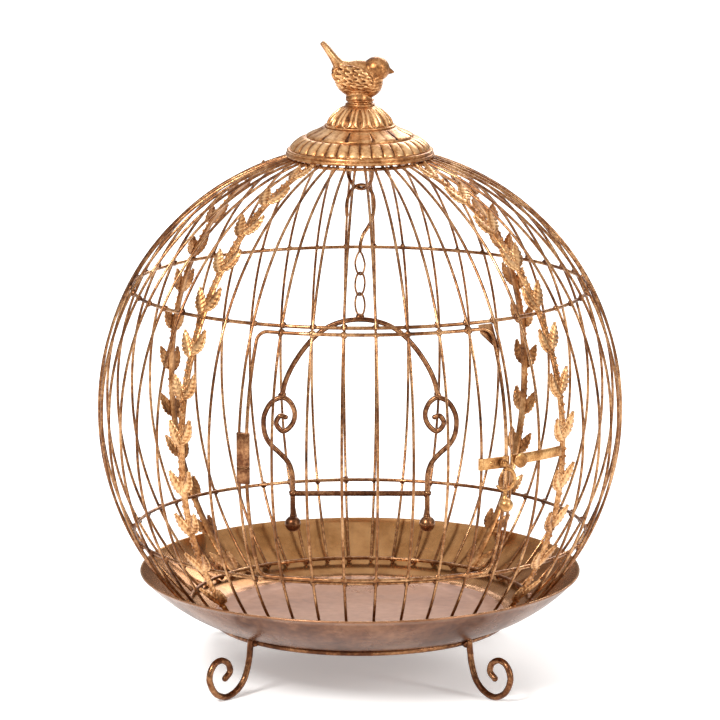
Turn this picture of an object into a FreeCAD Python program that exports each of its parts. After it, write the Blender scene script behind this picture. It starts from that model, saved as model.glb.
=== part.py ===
"""Round wire birdcage used as a wedding card holder: tray stand, cage, hinged door, latch and a hanging swing.

Frame: millimetres, origin on the ground under the cage axis, +Z up, the door faces -Y.
Azimuth 0 is the front (-Y) and grows towards +X. Elevation is measured from the cage's equator.
"""
import FreeCAD
import Part
import math
import os

V = FreeCAD.Vector
X_AXIS = V(1, 0, 0)
Y_AXIS = V(0, 1, 0)
Z_AXIS = V(0, 0, 1)

# ---- driving dimensions of the cage -------------------------------------------------
CAGE_RADIUS = 190.0          # to the outside of the vertical wires
WIRE_R = 1.05                # vertical wires
BAND_WIRE_R = 1.3            # bands, hoops and the door's frame
WELD_SINK = 0.16             # how far a band's wire is pressed into each vertical wire
Z_UPPER = 195.0              # centre of the upper half's arcs
Z_LOWER = 191.0              # centre of the lower half's arcs; between them the wires are straight
BAR_PITCH = 7.5              # degrees between wires
BAR_RADIUS = CAGE_RADIUS - WIRE_R
BAND_RADIUS = BAR_RADIUS - WIRE_R - BAND_WIRE_R + WELD_SINK
TOP_ELEV = 75.6
BOTTOM_ELEV = -49.0
BAND_ELEV = 28.2
TOP_RING_ELEV = 75.0
HOOP_ELEV = -48.5
GARLAND_AZIMUTHS = {"front_left": -41.25, "front_right": 48.75, "rear_right": 138.75, "rear_left": -131.25}
JAMB_LEFT = -26.25
JAMB_RIGHT = 33.75

# ---- door, hinge and latch ------------------------------------------------------------
DOOR_TOP_ELEV = 26.5
DOOR_BOTTOM_ELEV = -26.8
HINGE_AZIMUTH = -24.5
DOOR_RIGHT = 32.35
DOOR_CORNER = 7.0            # corner radius of the frame
STOP_GAP = 0.65              # from the frame's rod to the flat stop plate behind it
HINGE_LOW = 172.5            # the frame's rod is straight and upright between these heights
HINGE_HIGH = 213.5
SLEEVE_WALL = 0.75
HINGE_CLEARANCE = 0.06
SLEEVES = {"upper": (187.2, 211.0), "lower": (175.0, 187.0)}
STRAP_WALL = 1.0
LATCH_Z = 188.5
LATCH_AZIMUTH = 30.95
PIN_R = 1.2
LATCH_INNER = 191.6          # radius of the latch's inner face
LATCH_THICK = 2.6
STUD_GAP = 0.75              # from the hook to the stud's head, measured at the pin
KEEPER_RUN = 1.5             # degrees that the keeper strap runs past its stud, short of the door
KEEPER_OFFSET = 12.6         # keeper stud, to the right of the latch's pin

# ---- tray and stand ---------------------------------------------------------------------
SHEET = 1.0
FLOOR_Z = 41.0
FLOOR_R = 111.0
RIM_R = 158.9
RIM_Z = 73.4
RING_ROD_R = 2.4
RING_R = 106.0
TOUCH = 0.01                 # how far brazed rods are pressed into a sheet
FOOT_ROD_R = 2.3
FEET = {"front_right": 45.0, "rear_right": 135.0, "rear_left": -135.0, "front_left": -45.0}

# ---- cap and bird -------------------------------------------------------------------------
CAP_SHEET = 1.2
SKIRT_BASE_Z = 383.2
SKIRT_TOP_Z = 392.0
CONE_TOP_Z = 399.6
DOME_TOP_Z = 414.5
COLLAR_TOP_Z = 419.2
GADROONS = 36
NOTCHES = 12

# ---- swing ----------------------------------------------------------------------------------
HOOK_WIRE_R = 1.35
LINK_WIRE_R = 0.8
ARCH_ROD_R = 1.9
LOOP_BOTTOM_Z = 354.0        # centre of the wire the hook hangs on
LOOP_HALF_WIDTH = 12.5
SWING_GAP = 0.08             # play where one hanging wire bears on the next
LINK_YAW = 45.0
PERCH_DROP = 128.9
LEG_X = 49.0
BALL_R = 5.8
BALL_SINK = 0.12             # how far a leg's end is pressed into its ball


def polar(azimuth, radius, z):
    angle = math.radians(azimuth)
    return V(radius * math.sin(angle), -radius * math.cos(angle), z)


def cage_rz(elevation, radius):
    """Distance from the axis and height of a point on the cage's surface."""
    angle = math.radians(elevation)
    centre = Z_UPPER if elevation > 0 else Z_LOWER
    return radius * math.cos(angle), centre + radius * math.sin(angle)


def cage_point(azimuth, elevation, radius):
    r, z = cage_rz(elevation, radius)
    return polar(azimuth, r, z)


def turned(shape, azimuth):
    """A shape built towards +X, turned to an azimuth."""
    copy = shape.copy()
    copy.rotate(V(0, 0, 0), Z_AXIS, azimuth - 90.0)
    return copy


def swept_meridian(profile, top, bottom):
    """Sweep a flat profile, drawn on the equator towards +X, along the cage's meridian."""
    pieces = []
    if top > 0:
        start = max(bottom, 0.0)
        upper = profile.copy()
        upper.translate(V(0, 0, Z_UPPER))
        upper.rotate(V(0, 0, Z_UPPER), -Y_AXIS, start)
        pieces.append(upper.revolve(V(0, 0, Z_UPPER), -Y_AXIS, top - start))
    if top > 0 > bottom:
        middle = profile.copy()
        middle.translate(V(0, 0, Z_LOWER))
        pieces.append(middle.extrude(V(0, 0, Z_UPPER - Z_LOWER)))
    if bottom < 0:
        start = min(top, 0.0)
        lower = profile.copy()
        lower.translate(V(0, 0, Z_LOWER))
        lower.rotate(V(0, 0, Z_LOWER), Y_AXIS, -start)
        pieces.append(lower.revolve(V(0, 0, Z_LOWER), Y_AXIS, start - bottom))
    return fused(pieces)


def fused(pieces):
    solid = pieces[0]
    if len(pieces) > 1:
        solid = pieces[0].multiFuse(pieces[1:]).removeSplitter()
    return solid.Solids[0] if len(solid.Solids) == 1 else solid


def disc(radius, centre, normal=Z_AXIS):
    return Part.Face(Part.Wire(Part.makeCircle(radius, centre, normal)))


def meridian_bar(top, bottom):
    return swept_meridian(disc(WIRE_R, V(BAR_RADIUS, 0, 0)), top, bottom)


def spline(points, closed=False):
    curve = Part.BSplineCurve()
    curve.interpolate(Points=points, PeriodicFlag=closed)
    return curve.toShape()


def swept_rod(path, radius):
    """A round rod along an open smooth path."""
    first = path.Edges[0]
    start = first.valueAt(first.FirstParameter)
    tangent = first.tangentAt(first.FirstParameter)
    profile = Part.Wire(Part.makeCircle(radius, start, tangent))
    return path.makePipeShell([profile], True, False)


def open_rod(points, radius):
    return swept_rod(Part.Wire([spline(points)]), radius)


def closed_rod(points, radius):
    """A round rod along a closed path, swept in two halves and sewn into one solid."""
    edge = spline(points, closed=True)
    first, last = edge.FirstParameter, edge.LastParameter
    middle = (first + last) / 2
    sides = []
    for start, end in ((first, middle), (middle, last)):
        half = swept_rod(Part.Wire([edge.Curve.toShape(start, end)]), radius)
        sides += [face for face in half.Faces if not isinstance(face.Surface, Part.Plane)]
    shell = Part.Shell(sides)
    shell.sewShape()
    return Part.Solid(shell)


def ball(centre, radius):
    return Part.makeSphere(radius, centre)


def torus(major, minor, z):
    return Part.makeTorus(major, minor, V(0, 0, z), Z_AXIS)


def lathe(points):
    """Turn a closed outline of (radius, height) pairs about the cage's axis."""
    outline = [V(r, 0, z) for r, z in points]
    outline.append(outline[0])
    face = Part.Face(Part.makePolygon(outline))
    return face.revolve(V(0, 0, 0), Z_AXIS, 360)


def tangent_frame(azimuth, radius, z):
    """Placement whose x runs along the cage to the right, y up and z outward."""
    angle = math.radians(azimuth)
    right = V(math.cos(angle), math.sin(angle), 0)
    outward = V(math.sin(angle), -math.cos(angle), 0)
    rotation = FreeCAD.Rotation(right, Z_AXIS, outward, "ZXY")
    return FreeCAD.Placement(polar(azimuth, radius, z), rotation)


def plate(points, thickness):
    """A flat plate from an outline in its own x-y plane, with its inner face at z = 0."""
    outline = [V(x, y, 0) for x, y in points]
    outline.append(outline[0])
    return Part.Face(Part.makePolygon(outline)).extrude(V(0, 0, thickness))


def placed(shape, placement):
    copy = shape.copy()
    copy.Placement = placement.multiply(copy.Placement)
    return copy


# ---- stand ------------------------------------------------------------------------------------
def tray_pan():
    """Shallow spun dish: flat floor and an arched, flaring wall with a rounded edge."""
    def wall(offset):
        mid = V(134.0 + offset * 0.55, 0, 52.6 - offset * 0.83)
        start = V(FLOOR_R + offset * 0.25, 0, FLOOR_Z - offset)
        end = V(RIM_R + offset * 0.64, 0, RIM_Z - offset * 0.77)
        return Part.Arc(start, mid, end), start, end

    inner, inner_start, inner_end = wall(0.0)
    outer, outer_start, outer_end = wall(SHEET)
    lip = Part.Arc(inner_end, V(RIM_R + 0.7, 0, RIM_Z + 0.1), outer_end)
    axis_top = V(0, 0, FLOOR_Z)
    axis_bottom = V(0, 0, FLOOR_Z - SHEET)
    outline = Part.Wire([
        Part.makeLine(axis_top, inner_start), inner.toShape(), lip.toShape(), outer.toShape(),
        Part.makeLine(outer_start, axis_bottom), Part.makeLine(axis_bottom, axis_top),
    ])
    return Part.Face(outline).revolve(V(0, 0, 0), Z_AXIS, 360)


def base_ring():
    return torus(RING_R, RING_ROD_R, FLOOR_Z - SHEET - RING_ROD_R + TOUCH)


def foot():
    """Scroll foot bent from round rod; its leg is brazed to the outside of the base ring."""
    leg = RING_R + RING_ROD_R + FOOT_ROD_R - 0.08
    path = [(leg, 39.4), (leg + 0.9, 31.0), (leg + 2.6, 22.0), (leg + 7.0, 11.5), (leg + 15.0, 4.6),
            (136.0, FOOT_ROD_R + 0.08), (146.0, 7.4), (151.2, 18.0), (147.8, 27.0), (140.4, 30.0),
            (133.2, 26.6), (131.2, 20.4), (136.0, 16.0)]
    rod = open_rod([V(r, 0, z) for r, z in path], FOOT_ROD_R)
    tip = ball(V(path[-1][0], 0, path[-1][1]), FOOT_ROD_R)
    return fused([rod, tip])


# ---- cage ---------------------------------------------------------------------------------------
def bar_group(first, last):
    """Separate full-length wires from one azimuth to another."""
    bar = meridian_bar(TOP_ELEV, BOTTOM_ELEV)
    count = round((last - first) / BAR_PITCH) + 1
    return Part.makeCompound([turned(bar, first + BAR_PITCH * n) for n in range(count)])


def stub_group(top, bottom):
    """Short wires over or under the doorway."""
    stub = meridian_bar(top, bottom)
    azimuths = [JAMB_LEFT + BAR_PITCH * n for n in range(1, 8)]
    return Part.makeCompound([turned(stub, azimuth) for azimuth in azimuths])


def band(elevation):
    r, z = cage_rz(elevation, BAND_RADIUS)
    return torus(r, BAND_WIRE_R, z)


GARLAND_STRIP_W = 6.4
GARLAND_INNER = BAND_RADIUS + BAND_WIRE_R - 0.06
GARLAND_STRIP_T = 1.4
LEAF_T = 1.3
LEAF_SINK = 0.55             # how far the leaves are let into the stem
LEAF_CLEAR = 0.3             # least gap from a leaf to the next wire
LEAF_PAIRS = 13
LEAF_HALF = [(0, -4.5), (3.9, -3.0), (7.6, 1.5), (9.3, 6.5), (9.0, 12.0), (6.0, 10.5), (3.2, 7.0), (1.8, 10.0),
             (0, 12.5)]


def leaf_pair(elevation):
    """Two leaves in the plane of the cage's surface, narrowed where the wires on both sides come close."""
    tip_elevation = elevation + math.degrees(LEAF_HALF[-1][1] / BAR_RADIUS)
    spacing = cage_rz(tip_elevation, BAR_RADIUS)[0] * math.radians(BAR_PITCH)
    widest = max(x for x, y in LEAF_HALF)
    narrow = min(1.0, (spacing - WIRE_R - LEAF_CLEAR) / widest)
    half = [(x * narrow, y) for x, y in LEAF_HALF]
    leaf = plate(half + [(-x, y) for x, y in reversed(half[1:-1])], LEAF_T)
    leaf.rotate(V(0, 0, 0), X_AXIS, 90)
    leaf.rotate(V(0, 0, 0), Z_AXIS, 90)
    return leaf


def garland():
    """Stamped leaf strip: a flat stem with pairs of leaves that point upward."""
    half = GARLAND_STRIP_W / 2
    outer = GARLAND_INNER + GARLAND_STRIP_T
    corners = [V(GARLAND_INNER, -half, 0), V(outer, -half, 0), V(outer, half, 0), V(GARLAND_INNER, half, 0)]
    profile = Part.Face(Part.makePolygon(corners + corners[:1]))
    strip = swept_meridian(profile, TOP_RING_ELEV - 0.2, HOOP_ELEV - 0.2)
    low, high = HOOP_ELEV + 2.6, TOP_RING_ELEV - 6.0
    leaves = []
    for n in range(LEAF_PAIRS):
        elevation = low + (high - low) * n / (LEAF_PAIRS - 1)
        copy = leaf_pair(elevation)
        copy.translate(V(outer - LEAF_SINK, 0, 0))
        centre = Z_UPPER if elevation > 0 else Z_LOWER
        copy.translate(V(0, 0, centre))
        copy.rotate(V(0, 0, centre), -Y_AXIS, elevation)
        leaves.append(copy)
    return fused([strip] + leaves)


# ---- door -----------------------------------------------------------------------------------------
def hinge_radius():
    """Radius of the hinge rod's centreline: its upright length is a chord of the wires' arc."""
    return math.sqrt(BAR_RADIUS ** 2 - (HINGE_HIGH - Z_UPPER) ** 2)


def door_frame():
    """The frame's rods, butted end to end on the same surface as the wires."""
    corner = math.degrees(DOOR_CORNER / BAR_RADIUS)
    upper, lower = DOOR_TOP_ELEV - corner, DOOR_BOTTOM_ELEV + corner
    low_elev = -math.degrees(math.asin((Z_LOWER - HINGE_LOW) / BAR_RADIUS))
    high_elev = math.degrees(math.asin((HINGE_HIGH - Z_UPPER) / BAR_RADIUS))
    profile = disc(BAND_WIRE_R, V(BAR_RADIUS, 0, 0))
    rods = {
        "hinge": Part.makeCylinder(BAND_WIRE_R, HINGE_HIGH - HINGE_LOW,
                                   polar(HINGE_AZIMUTH, hinge_radius(), HINGE_LOW)),
        "left_upper": turned(swept_meridian(profile, upper, high_elev), HINGE_AZIMUTH),
        "left_lower": turned(swept_meridian(profile, low_elev, lower), HINGE_AZIMUTH),
        "right": turned(swept_meridian(profile, upper, lower), DOOR_RIGHT),
    }
    for name, level, start in (("top", DOOR_TOP_ELEV, upper), ("bottom", DOOR_BOTTOM_ELEV, lower)):
        r, z = cage_rz(level, BAR_RADIUS)
        width = math.degrees(DOOR_CORNER / r)
        left, right = HINGE_AZIMUTH + width, DOOR_RIGHT - width
        section = Part.Face(Part.Wire(Part.makeCircle(BAND_WIRE_R, V(r, 0, z), Y_AXIS)))
        rods[name] = turned(section.revolve(V(0, 0, 0), Z_AXIS, right - left), left)
        for side, jamb, inward in (("left", HINGE_AZIMUTH, left), ("right", DOOR_RIGHT, right)):
            rods[name + "_" + side] = corner_bend(jamb, start, inward, level)
    return rods


def corner_bend(jamb, start, inward, level):
    """Bend from an upright rod at one azimuth to a level rod."""
    half = math.sqrt(0.5)
    middle = cage_point(inward + (jamb - inward) * half, start + (level - start) * half, BAR_RADIUS)
    first, last = cage_point(jamb, start, BAR_RADIUS), cage_point(inward, level, BAR_RADIUS)
    return swept_rod(Part.Wire([Part.Arc(first, middle, last).toShape()]), BAND_WIRE_R)


def door_bars():
    """Seven wires butted between the frame's top and bottom."""
    inset = math.degrees((BAND_WIRE_R - 0.1) / BAR_RADIUS)
    bar = meridian_bar(DOOR_TOP_ELEV - inset, DOOR_BOTTOM_ELEV + inset)
    return [turned(bar, JAMB_LEFT + BAR_PITCH * n) for n in range(1, 8)]


def hinge_sleeve(low, high, jamb):
    """Flattened sheet sleeve clinched on the jamb wire, with a running bore for the door's rod."""
    radius = hinge_radius()
    jamb_x = -math.radians(HINGE_AZIMUTH - JAMB_LEFT) * radius
    outer = BAND_WIRE_R + HINGE_CLEARANCE + SLEEVE_WALL
    frame = tangent_frame(HINGE_AZIMUTH, radius, low)
    height = high - low
    round_right = Part.makeCylinder(outer, height, V(0, 0, 0), Y_AXIS)
    round_left = Part.makeCylinder(outer, height, V(jamb_x, 0, 0), Y_AXIS)
    web = Part.makeBox(-jamb_x, height, 2 * outer, V(jamb_x, 0, -outer))
    bore = Part.makeCylinder(BAND_WIRE_R + HINGE_CLEARANCE, height + 2, V(0, -1, 0), Y_AXIS)
    body = placed(fused([round_right, round_left, web]).cut(bore), frame)
    return body.cut(jamb).Solids[0]


def stop_gusset(points, elevation, azimuth, jamb, ring):
    """Flat corner plate behind the door's frame; the frame's rod comes to rest on it."""
    inner = BAR_RADIUS - BAND_WIRE_R - STOP_GAP - SHEET
    outline = plate(points, SHEET)
    frame = tangent_frame(azimuth, 0, 0)
    outline.Placement = FreeCAD.Placement()
    r, z = cage_rz(elevation, inner)
    tilt = FreeCAD.Placement(V(0, 0, 0), FreeCAD.Rotation(X_AXIS, -elevation))
    spot = FreeCAD.Placement(polar(azimuth, r, z), frame.Rotation)
    body = placed(outline, spot.multiply(tilt))
    return body.cut(jamb).cut(ring).Solids[0]


# ---- latch ------------------------------------------------------------------------------------------
def latch_strap(bar, frame_rod, pin):
    """Sheet strap wrapped round the last door wire and the frame's right rod."""
    height = 8.0
    half_gap = (DOOR_RIGHT - (JAMB_RIGHT - BAR_PITCH)) / 2
    span = 2 * BAR_RADIUS * math.sin(math.radians(half_gap))
    spot = tangent_frame(DOOR_RIGHT - half_gap, BAR_RADIUS * math.cos(math.radians(half_gap)), LATCH_Z - height / 2)
    left = Part.makeCylinder(WIRE_R + STRAP_WALL, height, V(-span / 2, 0, 0), Y_AXIS)
    right = Part.makeCylinder(BAND_WIRE_R + STRAP_WALL, height, V(span / 2, 0, 0), Y_AXIS)
    web = Part.makeBox(span, height, 1.4, V(-span / 2, 0, 0.3))
    body = placed(fused([left, right, web]), spot)
    return body.cut(bar).cut(frame_rod).cut(pin).Solids[0]


def latch_pin():
    spot = tangent_frame(LATCH_AZIMUTH, 0, LATCH_Z)
    shank = Part.makeCylinder(PIN_R, LATCH_INNER + LATCH_THICK + 0.1 - (BAR_RADIUS - 0.6), V(0, 0, BAR_RADIUS - 0.6))
    head = Part.makeCylinder(2.5, 1.1, V(0, 0, LATCH_INNER + LATCH_THICK + 0.08))
    dome = Part.makeSphere(2.9, V(0, 0, LATCH_INNER + LATCH_THICK - 0.4))
    dome = dome.common(Part.makeCylinder(2.5, 3.0, V(0, 0, LATCH_INNER + LATCH_THICK + 0.6)))
    return placed(fused([shank, head, dome]), spot)


def strap_rivet(strap):
    spot = tangent_frame(LATCH_AZIMUTH - 2.3, BAR_RADIUS + 1.5, LATCH_Z)
    head = Part.makeSphere(2.2, V(0, 0, -0.9)).common(Part.makeBox(6, 6, 4, V(-3, -3, -0.2)))
    return placed(head, spot).cut(strap).Solids[0]


def latch_hook():
    """Cast hook with a ball for a handle; it hangs from its pin and swings up under the keeper's head."""
    centre = (1.4, -11.6)
    radius = 7.6
    wide = 3.0
    steps = 20
    first, last = 96.0, -150.0
    outer, inner = [], []
    for n in range(steps + 1):
        share = n / steps
        angle = math.radians(first + (last - first) * share)
        half = wide / 2 * (1.0 - 0.45 * share)
        for ring, reach in ((outer, radius + half), (inner, radius - half)):
            ring.append((centre[0] + reach * math.cos(angle), centre[1] + reach * math.sin(angle)))
    arc = plate(outer + inner[::-1], LATCH_THICK)
    boss = Part.makeCylinder(2.9, LATCH_THICK, V(0, 0, 0))
    neck = Part.makeCone(1.7, 1.25, 6.6, V(1.4, -18.9, LATCH_THICK / 2), V(0, -1, 0))
    collar = Part.makeCylinder(2.6, 1.4, V(1.4, -24.2, LATCH_THICK / 2), V(0, -1, 0))
    knob = ball(V(1.4, -29.6, LATCH_THICK / 2 + 1.2), 5.0)
    body = fused([arc, boss, neck, collar, knob])
    eye = Part.makeCylinder(PIN_R + 0.06, LATCH_THICK + 4, V(0, 0, -2))
    return placed(body.cut(eye), tangent_frame(LATCH_AZIMUTH, LATCH_INNER, LATCH_Z)).Solids[0]


def keeper_azimuth():
    return LATCH_AZIMUTH + math.degrees(KEEPER_OFFSET / CAGE_RADIUS)


def keeper_strap(cutters):
    """Flat strap across the wires beside the door; it carries the stud that the hook slides under."""
    height = 7.4
    inner, outer = CAGE_RADIUS - 0.06, CAGE_RADIUS + 1.2
    start, end = keeper_azimuth() - KEEPER_RUN, GARLAND_AZIMUTHS["front_right"] - 1.35
    corners = [V(inner, 0, 0), V(outer, 0, 0), V(outer, 0, height), V(inner, 0, height)]
    strip = Part.Face(Part.makePolygon(corners + corners[:1])).revolve(V(0, 0, 0), Z_AXIS, end - start)
    strip.rotate(V(0, 0, 0), Z_AXIS, start - 90.0)
    strip.translate(V(0, 0, LATCH_Z - height / 2 + 1.0))
    for cutter in cutters:
        strip = strip.cut(cutter)
    return max(strip.Solids, key=lambda solid: solid.Volume)


def keeper_stud():
    spot = tangent_frame(keeper_azimuth(), 0, LATCH_Z + 1.0)
    foot_r = CAGE_RADIUS + 1.2
    top = LATCH_INNER + LATCH_THICK + STUD_GAP
    post = Part.makeCylinder(2.4, top - foot_r, V(0, 0, foot_r))
    head = Part.makeCylinder(5.4, 1.5, V(0, 0, top))
    return placed(Part.makeCompound([post, head]), spot)


# ---- cap -----------------------------------------------------------------------------------------------
def on_wires(r, gap):
    return Z_UPPER + math.sqrt((CAGE_RADIUS + gap) ** 2 - r * r)


def cap_rim():
    """Moulded ring with two beads, seated on the tops of the wires."""
    ring = lathe([(50.4, on_wires(50.4, -0.05)), (52.6, on_wires(52.6, -0.05)), (52.6, SKIRT_BASE_Z),
                  (48.4, SKIRT_BASE_Z), (48.4, SKIRT_BASE_Z - 1.2), (50.4, SKIRT_BASE_Z - 1.2)])
    beads = [torus(52.4, 1.2, 379.4), torus(52.0, 1.1, 382.1)]
    return fused([ring] + beads)


def pressed(outline, top_z):
    """Sheet cup from an outline of (radius, height) pairs that ends in a flat top."""
    inner = [(r - CAP_SHEET * 0.8, z - CAP_SHEET * 0.6) for r, z in outline[1:-1]]
    base_r, base_z = outline[0]
    last_r = outline[-1][0]
    points = list(outline) + [(0, top_z), (0, top_z - CAP_SHEET), (last_r - CAP_SHEET, top_z - CAP_SHEET)]
    points += inner[::-1] + [(base_r - CAP_SHEET, base_z)]
    return lathe(points)


def cap_skirt():
    """Gadrooned lower tier."""
    outline = [(50.2, SKIRT_BASE_Z), (49.0, 385.4), (46.6, 388.0), (43.6, 390.4), (40.8, SKIRT_TOP_Z)]
    skirt = pressed(outline, SKIRT_TOP_Z)
    cutters = []
    for n in range(GADROONS):
        groove = Part.makeCylinder(0.8, 13.5, V(51.6, 0, 382.6), V(-10.6, 0, 9.0))
        groove.rotate(V(0, 0, 0), Z_AXIS, 360.0 * n / GADROONS)
        cutters.append(groove)
    return skirt.cut(cutters).Solids[0]


def cap_cone():
    """Middle tier with wedge notches round its edge."""
    outline = [(38.2, SKIRT_TOP_Z), (37.6, 393.4), (31.6, 396.6), (26.4, CONE_TOP_Z)]
    cone = pressed(outline, CONE_TOP_Z)
    cutters = []
    for n in range(NOTCHES):
        wedge = plate([(39.5, -1.9), (39.5, 1.9), (30.5, 0.3), (30.5, -0.3)], 6.5)
        wedge.translate(V(0, 0, SKIRT_TOP_Z + 1.2))
        wedge.rotate(V(0, 0, 0), Z_AXIS, 360.0 * (n + 0.5) / NOTCHES)
        cutters.append(wedge)
    return cone.cut(cutters).Solids[0]


def cap_dome():
    outline = [(25.4, CONE_TOP_Z), (25.4, 400.8), (23.0, 401.4), (21.9, 404.6), (18.6, 409.0), (13.4, 412.8),
               (11.4, DOME_TOP_Z)]
    return pressed(outline, DOME_TOP_Z)


def cap_collar():
    return lathe([(0, DOME_TOP_Z), (10.6, DOME_TOP_Z), (10.6, 415.8), (9.4, 416.6), (9.4, 417.6), (10.2, 418.4),
                  (10.2, COLLAR_TOP_Z), (0, COLLAR_TOP_Z)])


def stretched(centre, axes, tilt=0.0):
    """Ellipsoid with the given half-lengths, tilted about Y."""
    matrix = FreeCAD.Matrix()
    matrix.scale(V(*axes))
    solid = Part.makeSphere(1.0).transformGeometry(matrix)
    solid.rotate(V(0, 0, 0), Y_AXIS, tilt)
    solid.translate(V(*centre))
    return solid


def bird():
    """Cast songbird that looks towards +X with its tail cocked up."""
    body = stretched((-1.0, 0, 433.4), (18.4, 11.2, 14.2), -6.0)
    head = ball(V(12.0, 0, 440.6), 9.4)
    beak = Part.makeCone(3.2, 0.5, 6.6, V(18.8, 0, 439.6), V(5.2, 0, -3.2))
    tail = plate([(-10.0, 440.0), (-17.0, 436.0), (-20.5, 446.0), (-29.4, 460.6), (-27.4, 462.0), (-14.0, 448.0)], 8.0)
    tail.rotate(V(0, 0, 0), X_AXIS, 90)
    tail.translate(V(0, 4.0, 0))
    foot_block = Part.makeCone(9.2, 11.0, 4.0, V(-1.0, 0, COLLAR_TOP_Z))
    wings = [stretched((-4.5, side * 8.6, 436.0), (15.0, 3.4, 8.6), 12.0) for side in (-1, 1)]
    return fused([body, head, beak, tail, foot_block] + wings)


# ---- swing -----------------------------------------------------------------------------------------------
def yawed(shape, yaw):
    copy = shape.copy()
    copy.rotate(V(0, 0, 0), Z_AXIS, yaw)
    return copy


def xz(points):
    return [V(x, 0, z) for x, z in points]


def swing_loop():
    """Round-bottomed loop brazed to the underside of the cap."""
    top = SKIRT_TOP_Z - CAP_SHEET
    half = LOOP_HALF_WIDTH
    bend = V(0, 0, LOOP_BOTTOM_Z + half)
    arc = Part.Arc(V(-half, 0, bend.z), V(0, 0, LOOP_BOTTOM_Z), V(half, 0, bend.z)).toShape()
    arms = [Part.makeLine(V(-half, 0, top), V(-half, 0, bend.z)), arc, Part.makeLine(V(half, 0, bend.z), V(half, 0, top))]
    return yawed(swept_rod(Part.Wire(arms), HOOK_WIRE_R), -LINK_YAW)


HOOK_TOP_Z = LOOP_BOTTOM_Z + 2 * HOOK_WIRE_R + SWING_GAP
HOOK_PATH = [(-13.2, -20.4), (-13.6, -14.0), (-12.0, -7.6), (-7.4, -2.0), (0.0, 0.0), (8.0, -2.4), (13.4, -9.4),
             (14.4, -18.0), (12.4, -25.8), (8.2, -31.6), (3.6, -36.2), (0.9, -41.6), (0.0, -48.0)]
HOOK_DROP = 48.0
LINK_HALF_HEIGHT = 8.4
LINK_HALF_WIDTH = 4.9


def swing_hook():
    """Question-mark hook that hangs over the loop."""
    path = xz([(x, HOOK_TOP_Z + z) for x, z in HOOK_PATH])
    return yawed(open_rod(path, HOOK_WIRE_R), LINK_YAW)


def oval(centre_z, pinch=0.0):
    """Closed oval wire in the x-z plane; a pinch narrows its top into a drop shape."""
    points = []
    for n in range(16):
        angle = 2 * math.pi * n / 16
        squeeze = 1.0 - pinch * max(0.0, math.sin(angle)) ** 1.0
        points.append(V(LINK_HALF_WIDTH * math.cos(angle) * squeeze, 0, centre_z + LINK_HALF_HEIGHT * math.sin(angle)))
    return closed_rod(points, LINK_WIRE_R)


LINK_PITCH = 2 * LINK_HALF_HEIGHT - 2 * LINK_WIRE_R - SWING_GAP
EYE_Z = HOOK_TOP_Z - HOOK_DROP - LINK_HALF_HEIGHT - LINK_WIRE_R + 0.1
MIDDLE_LINK_Z = EYE_Z - LINK_PITCH
SWING_LINK_Z = MIDDLE_LINK_Z - LINK_PITCH
ARCH_TOP_Z = SWING_LINK_Z - LINK_HALF_HEIGHT - LINK_WIRE_R - ARCH_ROD_R + 0.05

ARCH_HALF = [(0.0, 0.0), (11.5, -1.3), (22.0, -5.0), (31.5, -11.6), (40.0, -20.9), (47.0, -31.0), (51.8, -40.0),
             (54.6, -47.5), (56.0, -54.2)]
SCROLL = [(54.0, -72.2), (58.2, -71.4), (60.8, -77.0), (55.8, -82.6), (49.4, -77.6), (47.3, -69.4), (50.6, -61.2),
          (56.6, -57.7), (64.4, -61.4), (69.6, -71.4), (69.4, -83.2), (65.6, -91.6), (58.6, -98.6), (52.4, -105.6),
          (49.4, -114.0), (LEG_X, -124.0), (LEG_X, -134.0), (LEG_X, -146.0)]


def swing_arch():
    left = [(-x, z) for x, z in reversed(ARCH_HALF[1:])]
    path = xz([(x, ARCH_TOP_Z + z) for x, z in left + ARCH_HALF])
    return open_rod(path, ARCH_ROD_R)


def braze_bead(arch, link):
    """Blob of braze that joins the last link to the arch."""
    top = ARCH_TOP_Z + ARCH_ROD_R
    blob = Part.makeCone(3.4, 2.2, 4.2, V(0, 0, top - 1.0))
    return blob.cut(arch).cut(link).Solids[0]


def swing_scroll(side, arch):
    path = xz([(side * x, ARCH_TOP_Z + z) for x, z in SCROLL])
    rod = open_rod(path, ARCH_ROD_R)
    return rod.cut(arch).Solids[0]


def swing_ball(side):
    z = ARCH_TOP_Z + SCROLL[-1][1] - BALL_R + BALL_SINK
    return ball(V(side * LEG_X, 0, z), BALL_R)


def swing_perch():
    reach = LEG_X - ARCH_ROD_R + 0.08
    return Part.makeCylinder(2.0, 2 * reach, V(-reach, 0, ARCH_TOP_Z - PERCH_DROP), X_AXIS)


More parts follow.
